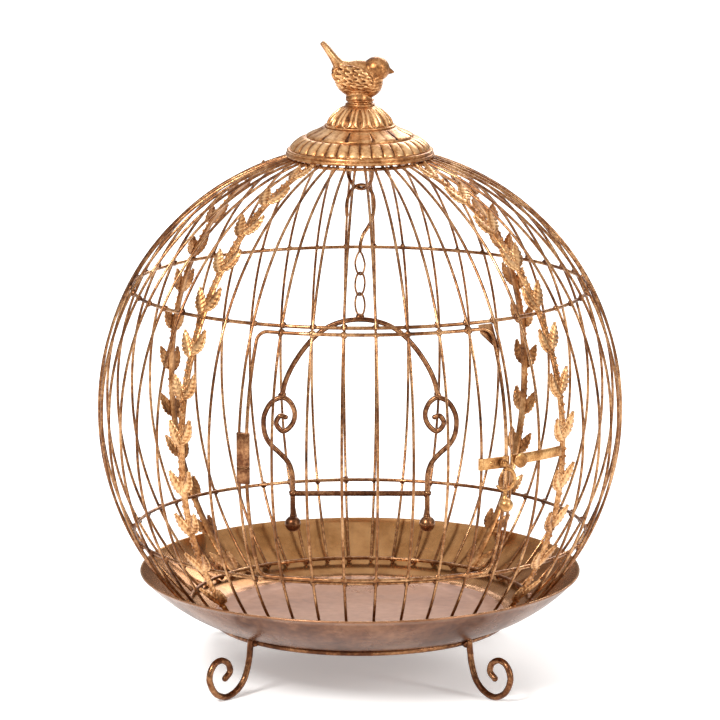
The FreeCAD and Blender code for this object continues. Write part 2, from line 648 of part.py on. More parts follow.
# ---- all nodes ---------------------------------------------------------------------------------------------
def build_nodes():
    nodes = {"tray_pan": tray_pan(), "base_ring": base_ring()}
    one_foot = foot()
    for name, azimuth in FEET.items():
        nodes["foot_" + name] = turned(one_foot, azimuth)

    bar = meridian_bar(TOP_ELEV, BOTTOM_ELEV)
    nodes["jamb_left"] = turned(bar, JAMB_LEFT)
    nodes["jamb_right"] = turned(bar, JAMB_RIGHT)
    nodes["bars_front"] = Part.makeCompound([turned(bar, JAMB_LEFT - BAR_PITCH), turned(bar, JAMB_RIGHT + BAR_PITCH)])
    nodes["bars_right"] = bar_group(56.25, 131.25)
    nodes["bars_rear"] = bar_group(146.25, 221.25)
    nodes["bars_left"] = bar_group(-123.75, -48.75)
    end = 0.5
    nodes["header_bars"] = stub_group(TOP_ELEV, BAND_ELEV - end)
    nodes["sill_bars"] = stub_group(-BAND_ELEV + end, BOTTOM_ELEV)
    nodes["top_ring"] = band(TOP_RING_ELEV)
    nodes["upper_band"] = band(BAND_ELEV)
    nodes["lower_band"] = band(-BAND_ELEV)
    nodes["bottom_hoop"] = band(HOOP_ELEV)
    strip = garland()
    for name, azimuth in GARLAND_AZIMUTHS.items():
        nodes["garland_" + name] = turned(strip, azimuth)

    frame_rods = door_frame()
    uprights = door_bars()
    nodes["door_frame"] = Part.makeCompound(list(frame_rods.values()))
    nodes["door_bars"] = Part.makeCompound(uprights)
    for name, (low, high) in SLEEVES.items():
        nodes["hinge_sleeve_" + name] = hinge_sleeve(low, high, nodes["jamb_left"])
    pin = latch_pin()
    nodes["latch_pin"] = pin
    nodes["latch_strap"] = latch_strap(uprights[-1], frame_rods["right"], pin)
    nodes["strap_rivet"] = strap_rivet(nodes["latch_strap"])
    nodes["latch_hook"] = latch_hook()
    nodes["keeper_stud"] = keeper_stud()
    nodes["keeper_strap"] = keeper_strap([nodes["garland_front_right"]])
    upper_stop = [(-9.0, 3.8), (2.4, 3.8), (2.4, -14.5), (0.6, -14.5), (-9.0, -2.4)]
    lower_stop = [(-9.0, -3.8), (2.4, -3.8), (2.4, 14.5), (0.6, 14.5), (-9.0, 2.4)]
    corner_azimuth = DOOR_RIGHT + 0.4
    nodes["stop_gusset_upper"] = stop_gusset(upper_stop, DOOR_TOP_ELEV, corner_azimuth, nodes["jamb_right"],
                                             nodes["upper_band"])
    nodes["stop_gusset_lower"] = stop_gusset(lower_stop, DOOR_BOTTOM_ELEV, corner_azimuth, nodes["jamb_right"],
                                             nodes["lower_band"])

    nodes["cap_rim"] = cap_rim()
    nodes["cap_skirt"] = cap_skirt()
    nodes["cap_cone"] = cap_cone()
    nodes["cap_dome"] = cap_dome()
    nodes["cap_collar"] = cap_collar()
    nodes["bird_finial"] = bird()
    nodes["swing_loop"] = swing_loop()

    nodes["swing_hook"] = swing_hook()
    nodes["hook_eye"] = yawed(oval(EYE_Z, 0.35), -LINK_YAW)
    nodes["chain_link"] = yawed(oval(MIDDLE_LINK_Z), LINK_YAW)
    nodes["swing_link"] = yawed(oval(SWING_LINK_Z), -LINK_YAW)
    arch = swing_arch()
    nodes["swing_arch"] = arch
    nodes["braze_bead"] = braze_bead(arch, nodes["swing_link"])
    nodes["swing_perch"] = swing_perch()
    for name, side in (("left", -1), ("right", 1)):
        nodes["swing_scroll_" + name] = swing_scroll(side, arch)
        nodes["swing_ball_" + name] = swing_ball(side)
    return nodes


def main():
    os.makedirs("parts", exist_ok=True)
    for name, shape in build_nodes().items():
        shape.exportStep("parts/" + name + ".step")
        box = shape.BoundBox
        print(f"{name:22s} solids {len(shape.Solids):3d} valid {shape.isValid()} volume {shape.Volume:10.1f} "
              f"z {box.ZMin:7.2f} {box.ZMax:7.2f} x {box.XMin:7.2f} {box.XMax:7.2f}")


main()
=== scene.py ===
"""Round wire birdcage card holder: detailed meshes, aged metal finishes, light and camera.

Lengths in the mesh code are millimetres in the row frame; piece() turns them into metres.
Azimuth 0 is the front (-Y) and grows towards +X. Elevation is measured from the cage's equator.
"""

import math

import bmesh
import bpy
from mathutils import Euler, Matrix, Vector, noise


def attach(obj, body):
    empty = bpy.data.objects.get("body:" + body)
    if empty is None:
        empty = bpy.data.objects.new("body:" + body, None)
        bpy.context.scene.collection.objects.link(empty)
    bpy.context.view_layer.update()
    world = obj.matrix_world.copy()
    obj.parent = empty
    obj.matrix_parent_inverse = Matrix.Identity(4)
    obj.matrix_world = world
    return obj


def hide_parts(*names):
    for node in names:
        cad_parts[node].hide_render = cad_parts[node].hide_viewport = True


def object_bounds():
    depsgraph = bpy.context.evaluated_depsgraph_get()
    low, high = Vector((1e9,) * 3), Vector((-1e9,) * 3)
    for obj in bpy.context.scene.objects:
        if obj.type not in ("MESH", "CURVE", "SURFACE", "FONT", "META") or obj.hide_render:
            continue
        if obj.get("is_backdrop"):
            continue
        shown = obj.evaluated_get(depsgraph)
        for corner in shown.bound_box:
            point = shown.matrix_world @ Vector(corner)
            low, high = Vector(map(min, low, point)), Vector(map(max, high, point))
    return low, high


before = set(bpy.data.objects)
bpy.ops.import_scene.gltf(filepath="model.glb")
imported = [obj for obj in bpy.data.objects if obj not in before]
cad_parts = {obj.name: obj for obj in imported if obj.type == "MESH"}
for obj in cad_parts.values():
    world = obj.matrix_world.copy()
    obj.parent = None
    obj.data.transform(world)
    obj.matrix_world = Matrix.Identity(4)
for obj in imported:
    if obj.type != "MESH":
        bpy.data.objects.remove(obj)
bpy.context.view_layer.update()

MM = 0.001
UP = Vector((0, 0, 1))

# ---- sizes shared with the CAD part ----
CAGE_RADIUS = 190.0
WIRE_R = 1.05
BAND_R = 1.3
BAR_RADIUS = CAGE_RADIUS - WIRE_R
BAND_RADIUS = 186.76
Z_UPPER = 195.0
Z_LOWER = 191.0
TOP_ELEV = 75.6
BOTTOM_ELEV = -49.0
BAND_ELEV = 28.2
TOP_RING_ELEV = 75.0
HOOP_ELEV = -48.5
BAR_PITCH = 7.5
JAMB_LEFT = -26.25
JAMB_RIGHT = 33.75
GARLANDS = {"front_left": -41.25, "front_right": 48.75, "rear_right": 138.75, "rear_left": -131.25}
DOOR_TOP = 26.5
DOOR_BOTTOM = -26.8
HINGE_AZIMUTH = -24.5
HINGE_LOW = 172.5
HINGE_HIGH = 213.5
HINGE_RADIUS = math.sqrt(BAR_RADIUS ** 2 - (HINGE_HIGH - Z_UPPER) ** 2)
DOOR_RIGHT = 32.35
DOOR_CORNER = 7.0
SLEEVE_R = 2.11
SLEEVES = {"upper": (187.2, 211.0), "lower": (175.0, 187.0)}
LATCH_Z = 188.5
LATCH_AZIMUTH = 30.95
LATCH_INNER = 191.6
LATCH_THICK = 2.6
KEEPER_AZIMUTH = LATCH_AZIMUTH + math.degrees(12.6 / CAGE_RADIUS)
RING_R = 106.0
RING_ROD_R = 2.4
FOOT_ROD_R = 2.3
FEET = {"front_right": 45.0, "rear_right": 135.0, "rear_left": -135.0, "front_left": -45.0}
HOOK_R = 1.35
LINK_R = 0.8
ARCH_R = 1.9
LOOP_BOTTOM = 354.0
LOOP_HALF = 12.5
HOOK_TOP = 356.78
ARCH_TOP = 258.39
LEG_X = 49.0
BALL_R = 5.8
BALL_SINK = 0.25


# ---- points and paths ----
def polar(azimuth, radius, z):
    angle = math.radians(azimuth)
    return Vector((radius * math.sin(angle), -radius * math.cos(angle), z))


def cage_point(azimuth, elevation, radius):
    angle = math.radians(elevation)
    centre = Z_UPPER if elevation > 0 else Z_LOWER
    return polar(azimuth, radius * math.cos(angle), centre + radius * math.sin(angle))


def spread(start, end, count):
    return [start + (end - start) * n / count for n in range(count + 1)]


def smooth_path(points, per=8):
    """Open Catmull-Rom curve through the points, with per steps between each two."""
    points = [Vector(p) for p in points]
    count = len(points)
    path = []
    for n in range(count - 1):
        b, c = points[n], points[n + 1]
        a = points[n - 1] if n else b * 2 - c
        d = points[n + 2] if n + 2 < count else c * 2 - b
        for step in range(per):
            t = step / per
            path.append(0.5 * (2 * b + (c - a) * t + (2 * a - 5 * b + 4 * c - d) * t ** 2
                               + (3 * b - a - 3 * c + d) * t ** 3))
    path.append(points[-1])
    return path


def yawed(points, yaw):
    angle = math.radians(yaw)
    cos, sin = math.cos(angle), math.sin(angle)
    return [Vector((p[0] * cos - p[1] * sin, p[0] * sin + p[1] * cos, p[2])) for p in points]


class Local:
    """Axes of a spot on the cage: x to the right, y up and z outward."""

    def __init__(self, azimuth, radius, z):
        self.origin = polar(azimuth, radius, z)
        self.x = polar(azimuth + 90.0, 1.0, 0)
        self.y = UP
        self.z = polar(azimuth, 1.0, 0)

    def at(self, x, y, z=0.0):
        return self.origin + self.x * x + self.y * y + self.z * z


def half_lengths(x, y, z):
    """The three half-length vectors of an upright ellipsoid."""
    return Vector((x, 0, 0)), Vector((0, y, 0)), Vector((0, 0, z))


# ---- mesh building ----
EVEN = 0.5  # relief of a surface that is neither hollow nor rubbed
ROUND_STEPS = (80.0, 55.0, 28.0)
WAVER_SCALE = 0.35
LUMP_SCALE = 0.6
POLE_GAP = 0.12  # share of a row that is left open at an ellipsoid's poles
THINNEST = 0.02  # smallest radius of a turned ring


class Shape:
    """Vertices, faces and a relief value per vertex: 0 in hollows, which the materials darken with dark
    patina plus painted shade, 1 on worn edges.
    """

    def __init__(self):
        self.verts = []
        self.faces = []
        self.relief = []

    def loft(self, rings, relief=None, loop=False):
        """Skin rings of equally many points; the ends are closed unless they meet in a loop."""
        base, sides = len(self.verts), len(rings[0])
        for n, ring in enumerate(rings):
            self.verts += ring
            self.relief += relief[n] if relief else [EVEN] * sides
        for n in range(len(rings) if loop else len(rings) - 1):
            low, high = base + n * sides, base + (n + 1) % len(rings) * sides
            for k in range(sides):
                turn = (k + 1) % sides
                self.faces.append((low + k, low + turn, high + turn, high + k))
        if not loop:
            self.faces.append(tuple(base + k for k in reversed(range(sides))))
            last = base + (len(rings) - 1) * sides
            self.faces.append(tuple(last + k for k in range(sides)))

    def tube(self, path, radius, closed=False, sides=10, rounded=False, uneven=0.035):
        """Round rod along a path; its thickness wavers a little, as in drawn and bent wire."""
        count = len(path)
        tangents = []
        for n in range(count):
            before = path[n - 1] if n or closed else path[0]
            after = path[(n + 1) % count] if n + 1 < count or closed else path[-1]
            tangents.append((after - before).normalized())
        side = tangents[0].orthogonal().normalized()
        frames = []
        for tangent in tangents:
            side = (side - tangent * side.dot(tangent)).normalized()
            frames.append((side.copy(), tangent.cross(side)))
        twist = 0.0
        if closed:
            carried = frames[-1][0] - tangents[0] * frames[-1][0].dot(tangents[0])
            carried.normalize()
            twist = math.atan2(carried.dot(frames[0][1]), carried.dot(frames[0][0]))
        rings = []

        def ring(n, reach, shift):
            centre = path[n] + tangents[n] * shift
            a, b = frames[n]
            untwist = -twist * n / count
            loop = []
            for k in range(sides):
                angle = 2 * math.pi * k / sides + untwist
                direction = a * math.cos(angle) + b * math.sin(angle)
                waver = noise.noise((centre + direction * radius) * WAVER_SCALE) * uneven
                loop.append(centre + direction * reach * (1.0 + waver))
            return loop

        if rounded:
            for turn in ROUND_STEPS:
                angle = math.radians(turn)
                rings.append(ring(0, radius * math.cos(angle), -radius * math.sin(angle)))
        rings += [ring(n, radius, 0.0) for n in range(count)]
        if rounded:
            for turn in reversed(ROUND_STEPS):
                angle = math.radians(turn)
                rings.append(ring(count - 1, radius * math.cos(angle), radius * math.sin(angle)))
        self.loft(rings, loop=closed)

    def spin(self, origin, axis, profile, sides=24, shaper=None):
        """Turn (radius, distance) pairs about an axis.

        shaper(share of the turn, row) gives an added radius and the relief.
        """
        axis = axis.normalized()
        a = axis.orthogonal().normalized()
        if abs(axis.z) > 0.99:
            a = Vector((1, 0, 0))
        b = axis.cross(a)
        rings, relief = [], []
        for row, (radius, distance) in enumerate(profile):
            ring, values = [], []
            for k in range(sides):
                angle = 2 * math.pi * k / sides
                extra, value = shaper(k / sides, row) if shaper else (0.0, EVEN)
                reach = max(radius + extra, THINNEST)
                ring.append(origin + axis * distance + (a * math.cos(angle) + b * math.sin(angle)) * reach)
                values.append(value)
            rings.append(ring)
            relief.append(values)
        self.loft(rings, relief)

    def blob(self, centre, axes, sides=9, rows=6, rough=0.12):
        """Lumpy ellipsoid, as a blob of braze; axes are its three half-length vectors."""
        a, b, c = axes
        rings = []
        for row in range(rows + 1):
            lat = math.pi * (row + POLE_GAP) / (rows + 2 * POLE_GAP) - math.pi / 2
            ring = []
            for k in range(sides):
                angle = 2 * math.pi * k / sides
                offset = (a * math.cos(angle) + b * math.sin(angle)) * math.cos(lat) + c * math.sin(lat)
                lump = 1.0 + rough * noise.noise((centre + offset) * LUMP_SCALE)
                ring.append(centre + offset * lump)
            rings.append(ring)
        self.loft(rings)


def piece(name, shape, body, material, nodes=()):
    """Make the object, let it move with its CAD body and stand for its CAD nodes."""
    mesh = bpy.data.meshes.new(name)
    mesh.from_pydata([v * MM for v in shape.verts], [], shape.faces)
    relief = mesh.attributes.new("relief", "FLOAT", "POINT")
    relief.data.foreach_set("value", shape.relief)
    mesh.polygons.foreach_set("use_smooth", [True] * len(mesh.polygons))
    mesh.materials.append(material)
    mesh.validate()
    shell = bmesh.new()
    shell.from_mesh(mesh)
    bmesh.ops.recalc_face_normals(shell, faces=shell.faces)
    shell.to_mesh(mesh)
    shell.free()
    obj = bpy.data.objects.new(name, mesh)
    bpy.context.scene.collection.objects.link(obj)
    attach(obj, body)
    if nodes:
        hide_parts(*nodes)
    return obj


# ---- materials ----
def linear(red, green, blue):
    """An sRGB colour, 0 to 255, as the linear RGBA that shaders use."""
    def channel(value):
        value /= 255.0
        return value / 12.92 if value <= 0.04045 else ((value + 0.055) / 1.055) ** 2.4
    return channel(red), channel(green), channel(blue), 1.0


SPECKLE_SIZE = 0.12  # as a share of the patches' size
SPECKLE_SHARE = 0.55  # how much the speckle adds to the patches
SKIN_SIZE = 1.1
SKIN_DEPTH = 0.15
DARK_STOP = 0.5
MID_STOP = 0.74
LIGHT_STOP = 1.02
DULL_PATCH = 0.35  # patch value with the highest roughness
BRIGHT_PATCH = 0.7  # patch value with the lowest roughness


def aged_metal(name, dark, mid, light, patch, metallic=0.85, rough=(0.32, 0.5), relief=0.5, bump=0.35):
    """Antiqued metal: patina patches, fine speckle, hollows darkened with dark patina plus painted shade,
    rubbed edges and a cast or drawn skin.

    patch is the size in mm of the patina's patches; relief is how strongly hollows darken, with dark patina
    plus painted shade.
    """
    material = bpy.data.materials.new(name)
    material.use_nodes = True
    nodes, links = material.node_tree.nodes, material.node_tree.links
    shader = nodes["Principled BSDF"]
    shader.inputs["Metallic"].default_value = metallic
    place = nodes.new("ShaderNodeTexCoord").outputs["Object"]

    def noisy(size, detail, roughness=0.6):
        node = nodes.new("ShaderNodeTexNoise")
        node.inputs["Scale"].default_value = 1.0 / (size * MM)
        node.inputs["Detail"].default_value = detail
        node.inputs["Roughness"].default_value = roughness
        links.new(place, node.inputs["Vector"])
        return node.outputs["Fac"]

    def combine(operation, first, second, third=None):
        node = nodes.new("ShaderNodeMath")
        node.operation = operation
        for socket, value in zip(node.inputs, (first, second, third)):
            if value is None:
                continue
            if isinstance(value, float):
                socket.default_value = value
            else:
                links.new(value, socket)
        return node.outputs[0]

    patches = noisy(patch, 5.0)
    speckle = noisy(patch * SPECKLE_SIZE, 3.0)
    skin = noisy(SKIN_SIZE, 4.0, 0.7)
    height = nodes.new("ShaderNodeAttribute")
    height.attribute_name = "relief"
    mixed = combine("MULTIPLY_ADD", speckle, SPECKLE_SHARE, patches)
    # Low relief darkens the colour (dark patina plus painted shade in hollows); high relief lightens rubbed
    # edges.
    lifted = combine("MULTIPLY_ADD", combine("SUBTRACT", height.outputs["Fac"], EVEN), relief, mixed)
    ramp = nodes.new("ShaderNodeValToRGB")
    ramp.color_ramp.elements[0].position = DARK_STOP
    ramp.color_ramp.elements[0].color = dark
    ramp.color_ramp.elements[1].position = LIGHT_STOP
    ramp.color_ramp.elements[1].color = light
    middle = ramp.color_ramp.elements.new(MID_STOP)
    middle.color = mid
    links.new(lifted, ramp.inputs["Fac"])
    links.new(ramp.outputs["Color"], shader.inputs["Base Color"])

    spread_of = nodes.new("ShaderNodeMapRange")
    spread_of.inputs["From Min"].default_value = DULL_PATCH
    spread_of.inputs["From Max"].default_value = BRIGHT_PATCH
    spread_of.inputs["To Min"].default_value = rough[1]
    spread_of.inputs["To Max"].default_value = rough[0]
    links.new(patches, spread_of.inputs["Value"])
    links.new(spread_of.outputs["Result"], shader.inputs["Roughness"])

    bumped = nodes.new("ShaderNodeBump")
    bumped.inputs["Strength"].default_value = bump
    bumped.inputs["Distance"].default_value = SKIN_DEPTH * MM
    links.new(skin, bumped.inputs["Height"])
    links.new(bumped.outputs["Normal"], shader.inputs["Normal"])
    return material


WIRE = aged_metal("wire_bronze_aged", linear(52, 26, 12), linear(126, 80, 46), linear(202, 156, 110), 24.0,
                  rough=(0.18, 0.34))
ROD = aged_metal("rod_bronze_aged", linear(44, 22, 12), linear(104, 62, 36), linear(172, 124, 84), 20.0,
                 rough=(0.18, 0.34))
GOLD = aged_metal("ornament_gold_aged", linear(70, 34, 14), linear(164, 110, 64), linear(226, 178, 126),
                  16.0, relief=0.62, rough=(0.26, 0.4))
BRASS = aged_metal("latch_brass_aged", linear(78, 44, 20), linear(168, 116, 66), linear(224, 178, 120), 9.0,
                   rough=(0.26, 0.4))
TRAY_IN = aged_metal("tray_inside_aged", linear(112, 68, 34), linear(154, 106, 60), linear(184, 136, 88),
                     90.0, metallic=0.88, rough=(0.16, 0.28), bump=0.08)
TRAY_FLOOR = aged_metal("tray_floor_aged", linear(104, 64, 42), linear(130, 88, 62), linear(150, 106, 78),
                        50.0, metallic=0.65, rough=(0.26, 0.4), bump=0.12)
TRAY_OUT = aged_metal("tray_outside_aged", linear(70, 36, 18), linear(112, 70, 44), linear(146, 102, 72),
                      44.0, metallic=0.75, rough=(0.2, 0.34), bump=0.12)


# ---- cage ----
WIRE_STEPS = 120
WIRE_WANDER = 0.16  # degrees that a wire strays sideways
STRAY_ACROSS = 0.7  # noise steps per degree between wires
STRAY_ALONG = 0.035  # noise steps per degree along a wire
STRAY_SEED = 3.1


def meridian_path(azimuth, top, bottom, wander=WIRE_WANDER):
    steps = max(6, round(WIRE_STEPS * (top - bottom) / (TOP_ELEV - BOTTOM_ELEV)))
    path = []
    for elevation in spread(top, bottom, steps):
        stray = noise.noise(Vector((azimuth * STRAY_ACROSS, elevation * STRAY_ALONG, STRAY_SEED))) * wander
        path.append(cage_point(azimuth + stray, elevation, BAR_RADIUS))
    return path


def wires(azimuths, top=TOP_ELEV, bottom=BOTTOM_ELEV):
    shape = Shape()
    for azimuth in azimuths:
        shape.tube(meridian_path(azimuth, top, bottom), WIRE_R, rounded=True)
    return shape


def band_path(elevation, steps=192):
    angle = math.radians(elevation)
    centre = Z_UPPER if elevation > 0 else Z_LOWER
    r, z = BAND_RADIUS * math.cos(angle), centre + BAND_RADIUS * math.sin(angle)
    return [polar(360.0 * n / steps, r, z) for n in range(steps)]


def run_of(first, last):
    return [first + BAR_PITCH * n for n in range(round((last - first) / BAR_PITCH) + 1)]


STUBS = run_of(JAMB_LEFT + BAR_PITCH, JAMB_RIGHT - BAR_PITCH)
FRONT = [JAMB_LEFT - BAR_PITCH, JAMB_RIGHT + BAR_PITCH]
SIDES = {"bars_front": FRONT, "bars_right": run_of(56.25, 131.25), "bars_rear": run_of(146.25, 221.25),
         "bars_left": run_of(-123.75, -48.75)}
BAND_END = 0.5  # degrees that a short wire runs past the band

for name, azimuths in SIDES.items():
    piece(name + "_wires", wires(azimuths), "cage", WIRE, [name])
for name, azimuth in (("jamb_left", JAMB_LEFT), ("jamb_right", JAMB_RIGHT)):
    jamb = Shape()
    jamb.tube(meridian_path(azimuth, TOP_ELEV, BOTTOM_ELEV, 0.0), WIRE_R, rounded=True)
    piece(name + "_wire", jamb, "cage", WIRE, [name])
piece("header_wires", wires(STUBS, TOP_ELEV, BAND_ELEV - BAND_END), "cage", WIRE,
      ["header_bars"])
piece("sill_wires", wires(STUBS, -BAND_ELEV + BAND_END, BOTTOM_ELEV), "cage", WIRE,
      ["sill_bars"])
for name, elevation in (("top_ring", TOP_RING_ELEV), ("upper_band", BAND_ELEV), ("lower_band", -BAND_ELEV),
                        ("bottom_hoop", HOOP_ELEV)):
    hoop = Shape()
    hoop.tube(band_path(elevation), BAND_R, closed=True, sides=12)
    piece(name + "_wire", hoop, "cage", WIRE, [name])


CAGE_WELD = 1.8  # size of the blobs at the bands
CAGE_WELD_IN = 1.15  # how far inside the wires they sit
DOOR_WELD = 2.1
DOOR_WELD_IN = 0.25


def weld(shape, azimuth, elevation, radius, size):
    """Braze blob that fills the corner beside a crossing."""
    angle = math.radians(elevation)
    right = polar(azimuth + 90.0, 1.0, 0)
    outward = polar(azimuth, 1.0, 0)
    out = outward * math.cos(angle) + UP * math.sin(angle)
    along = UP * math.cos(angle) - outward * math.sin(angle)
    turn = noise.noise(Vector((azimuth, elevation, 0.7)))
    grown = size * (1.0 + 0.3 * turn)
    centre = cage_point(azimuth, elevation, radius) + along * turn * 0.6
    shape.blob(centre, (right * grown * 1.25, along * grown * 1.35, out * grown * 0.9), rough=0.5)


welds = Shape()
for azimuth in sorted(set(sum(SIDES.values(), []) + STUBS + [JAMB_LEFT, JAMB_RIGHT])):
    for elevation in (BAND_ELEV, -BAND_ELEV, HOOP_ELEV):
        weld(welds, azimuth, elevation, BAR_RADIUS - CAGE_WELD_IN, CAGE_WELD)
piece("cage_braze_blobs", welds, "cage", ROD)


# ---- tray and stand ----
FLOOR_Z = 41.0
FLOOR_R = 111.0
FLOOR_RADII = (1, 20, 45, 70, 88, 92, 96, 100, 106)
FLOOR_BEAD = (96.0, 3.0, 0.35)  # radius, half width and rise of the ring pressed into the floor
TRAY_SHEET = 1.0
TRAY_SEGMENTS = 240
TRAY_DENT = 0.35
DENT_SCALE = 1.6
DENT_PER_ROW = 0.06
# Relief of the tray's lip: lighter, for a rubbed rim plus a painted highlight along it.
RIM_WEAR_AND_HIGHLIGHT = 0.95
OUTSIDE_SLOT = 1
FLOOR_SLOT = 2


def arc_through(start, middle, end, steps):
    """Points of the circle through three (r, z) points."""
    (ax, ay), (bx, by), (cx, cy) = start, middle, end
    d = 2 * (ax * (by - cy) + bx * (cy - ay) + cx * (ay - by))
    a2, b2, c2 = ax * ax + ay * ay, bx * bx + by * by, cx * cx + cy * cy
    ux = (a2 * (by - cy) + b2 * (cy - ay) + c2 * (ay - by)) / d
    uy = (a2 * (cx - bx) + b2 * (ax - cx) + c2 * (bx - ax)) / d
    radius = math.hypot(ax - ux, ay - uy)
    first, last = math.atan2(ay - uy, ax - ux), math.atan2(cy - uy, cx - ux)
    if last - first > math.pi:
        last -= 2 * math.pi
    if first - last > math.pi:
        last += 2 * math.pi
    return [(ux + radius * math.cos(t), uy + radius * math.sin(t)) for t in spread(first, last, steps)]


def tray():
    inner = arc_through((FLOOR_R, FLOOR_Z), (134.0, 52.6), (158.9, 73.4), 16)
    outer = arc_through((159.54, 72.63), (134.55, 51.77), (111.25, 40.0), 16)
    lip = [(159.3, 74.3), (160.2, 74.2), (160.5, 73.5), (160.1, 72.8)]
    bead_r, bead_wide, bead_rise = FLOOR_BEAD
    floor = [(r, FLOOR_Z + bead_rise * math.exp(-((r - bead_r) / bead_wide) ** 2)) for r in FLOOR_RADII]
    under = [(106.0, 40.0), (60.0, 40.0), (1.0, 40.0)]
    profile = floor + inner + lip + outer + under

    def hand_spun(share, row):
        r = profile[row][0]
        angle = share * 2 * math.pi
        spot = Vector((math.cos(angle), math.sin(angle), row * DENT_PER_ROW)) * DENT_SCALE
        # The rows round the lip get the lighter rim relief: rubbed wear plus painted highlight.
        edge = len(floor) + len(inner) - 1 <= row <= len(floor) + len(inner) + len(lip)
        return noise.noise(spot) * TRAY_DENT * (r > FLOOR_R), RIM_WEAR_AND_HIGHLIGHT if edge else EVEN

    shape = Shape()
    shape.spin(Vector((0, 0, 0)), UP, profile, TRAY_SEGMENTS, hand_spun)
    obj = piece("tray_pan_spun", shape, "cage", TRAY_IN, ["tray_pan"])
    obj.data.materials.append(TRAY_OUT)
    obj.data.materials.append(TRAY_FLOOR)
    floor_rows = len(floor) - 1
    inside_rows = len(floor) + len(inner) + 1
    for polygon in obj.data.polygons:
        row = min(polygon.vertices) // TRAY_SEGMENTS
        outside = row >= inside_rows or polygon.center.z < (FLOOR_Z - 0.5) * MM
        polygon.material_index = OUTSIDE_SLOT if outside else FLOOR_SLOT if row < floor_rows else 0


tray()

RING_TOUCH = 0.01
RING_Z = FLOOR_Z - TRAY_SHEET - RING_ROD_R + RING_TOUCH
RING_STEPS = 160
ring = Shape()
ring.tube([polar(360.0 * n / RING_STEPS, RING_R, RING_Z) for n in range(RING_STEPS)], RING_ROD_R,
          closed=True, sides=14)
piece("base_ring_rod", ring, "cage", ROD, ["base_ring"])

LEG_SINK = 0.08  # overlap of a leg with the base ring
FOOT_LIFT = 0.08  # added to the lowest point, where the smoothed rod dips
LEG_R = RING_R + RING_ROD_R + FOOT_ROD_R - LEG_SINK
FOOT_PATH = [(LEG_R, 39.4), (LEG_R + 0.9, 31.0), (LEG_R + 2.6, 22.0), (LEG_R + 7.0, 11.5),
             (LEG_R + 15.0, 4.6), (136.0, FOOT_ROD_R + FOOT_LIFT), (146.0, 7.4), (151.2, 18.0),
             (147.8, 27.0), (140.4, 30.0), (133.2, 26.6), (131.2, 20.4), (136.0, 16.0)]
FOOT_WELD = (4.6, 3.0, 2.2)  # half lengths across, up and outward
for name, azimuth in FEET.items():
    foot = Shape()
    foot.tube(smooth_path([polar(azimuth, r, z) for r, z in FOOT_PATH]), FOOT_ROD_R, sides=16, rounded=True,
              uneven=0.06)
    spot = Local(azimuth, RING_R + RING_ROD_R, RING_Z)
    across, tall, deep = FOOT_WELD
    foot.blob(spot.at(0, -0.6, 0.2), (spot.x * across, spot.y * tall, spot.z * deep), sides=14, rows=8,
              rough=0.35)
    piece("foot_" + name + "_scroll", foot, "cage", ROD, ["foot_" + name])


# ---- garlands ----
STEM_R = 188.0
STEM_HALF = 3.1
LEAF_PAIRS = 13
LEAF_ROWS = 24
LEAF_TEETH = 6.0
LEAF_ACROSS = 11
LEAF_BASE = (0.4, -5.0)
LEAF_TIP = (9.3, 12.6)
LEAF_WIDE = 4.4
LEAF_THICK = 0.9
LEAF_BOW = 1.5
LEAF_RISE = 1.5  # height of a leaf's middle over the stem's back
LEAF_CURL = 2.0  # how far the tip curls outward
LEAF_CUP = 0.9  # how far the edges drop
TOOTH_DEPTH = 0.26
RIB_WIDTH = 0.2
RIB_RISE = 0.6
VEIN_RISE = 0.75
# Relief of the leaves' backs and the sleeves' middles: a little darker than even, dark patina plus painted
# shade.
BACK_RELIEF = 0.45
STEM_STEPS = 90
STEM_SECTION = ((-1, 0.4), (-0.9, 0.0), (0.9, 0.0), (1, 0.4), (0.85, 1.0), (0.45, 1.35), (-0.45, 1.35),
                (-0.85, 1.0))
FIRST_LEAF = HOOP_ELEV + 2.6
LAST_LEAF = TOP_RING_ELEV - 6.0
BERRY_ROWS = 74
BERRY_R = 1.15
BERRY_PITCH = 1.9


def cage_local(azimuth, elevation, x, y, z):
    """Spot beside a meridian: x to the right, y up along it and z out from it."""
    angle = math.radians(elevation)
    outward = polar(azimuth, 1.0, 0)
    out = outward * math.cos(angle) + UP * math.sin(angle)
    along = UP * math.cos(angle) - outward * math.sin(angle)
    return cage_point(azimuth, elevation, STEM_R) + polar(azimuth + 90.0, 1.0, 0) * x + along * y + out * z


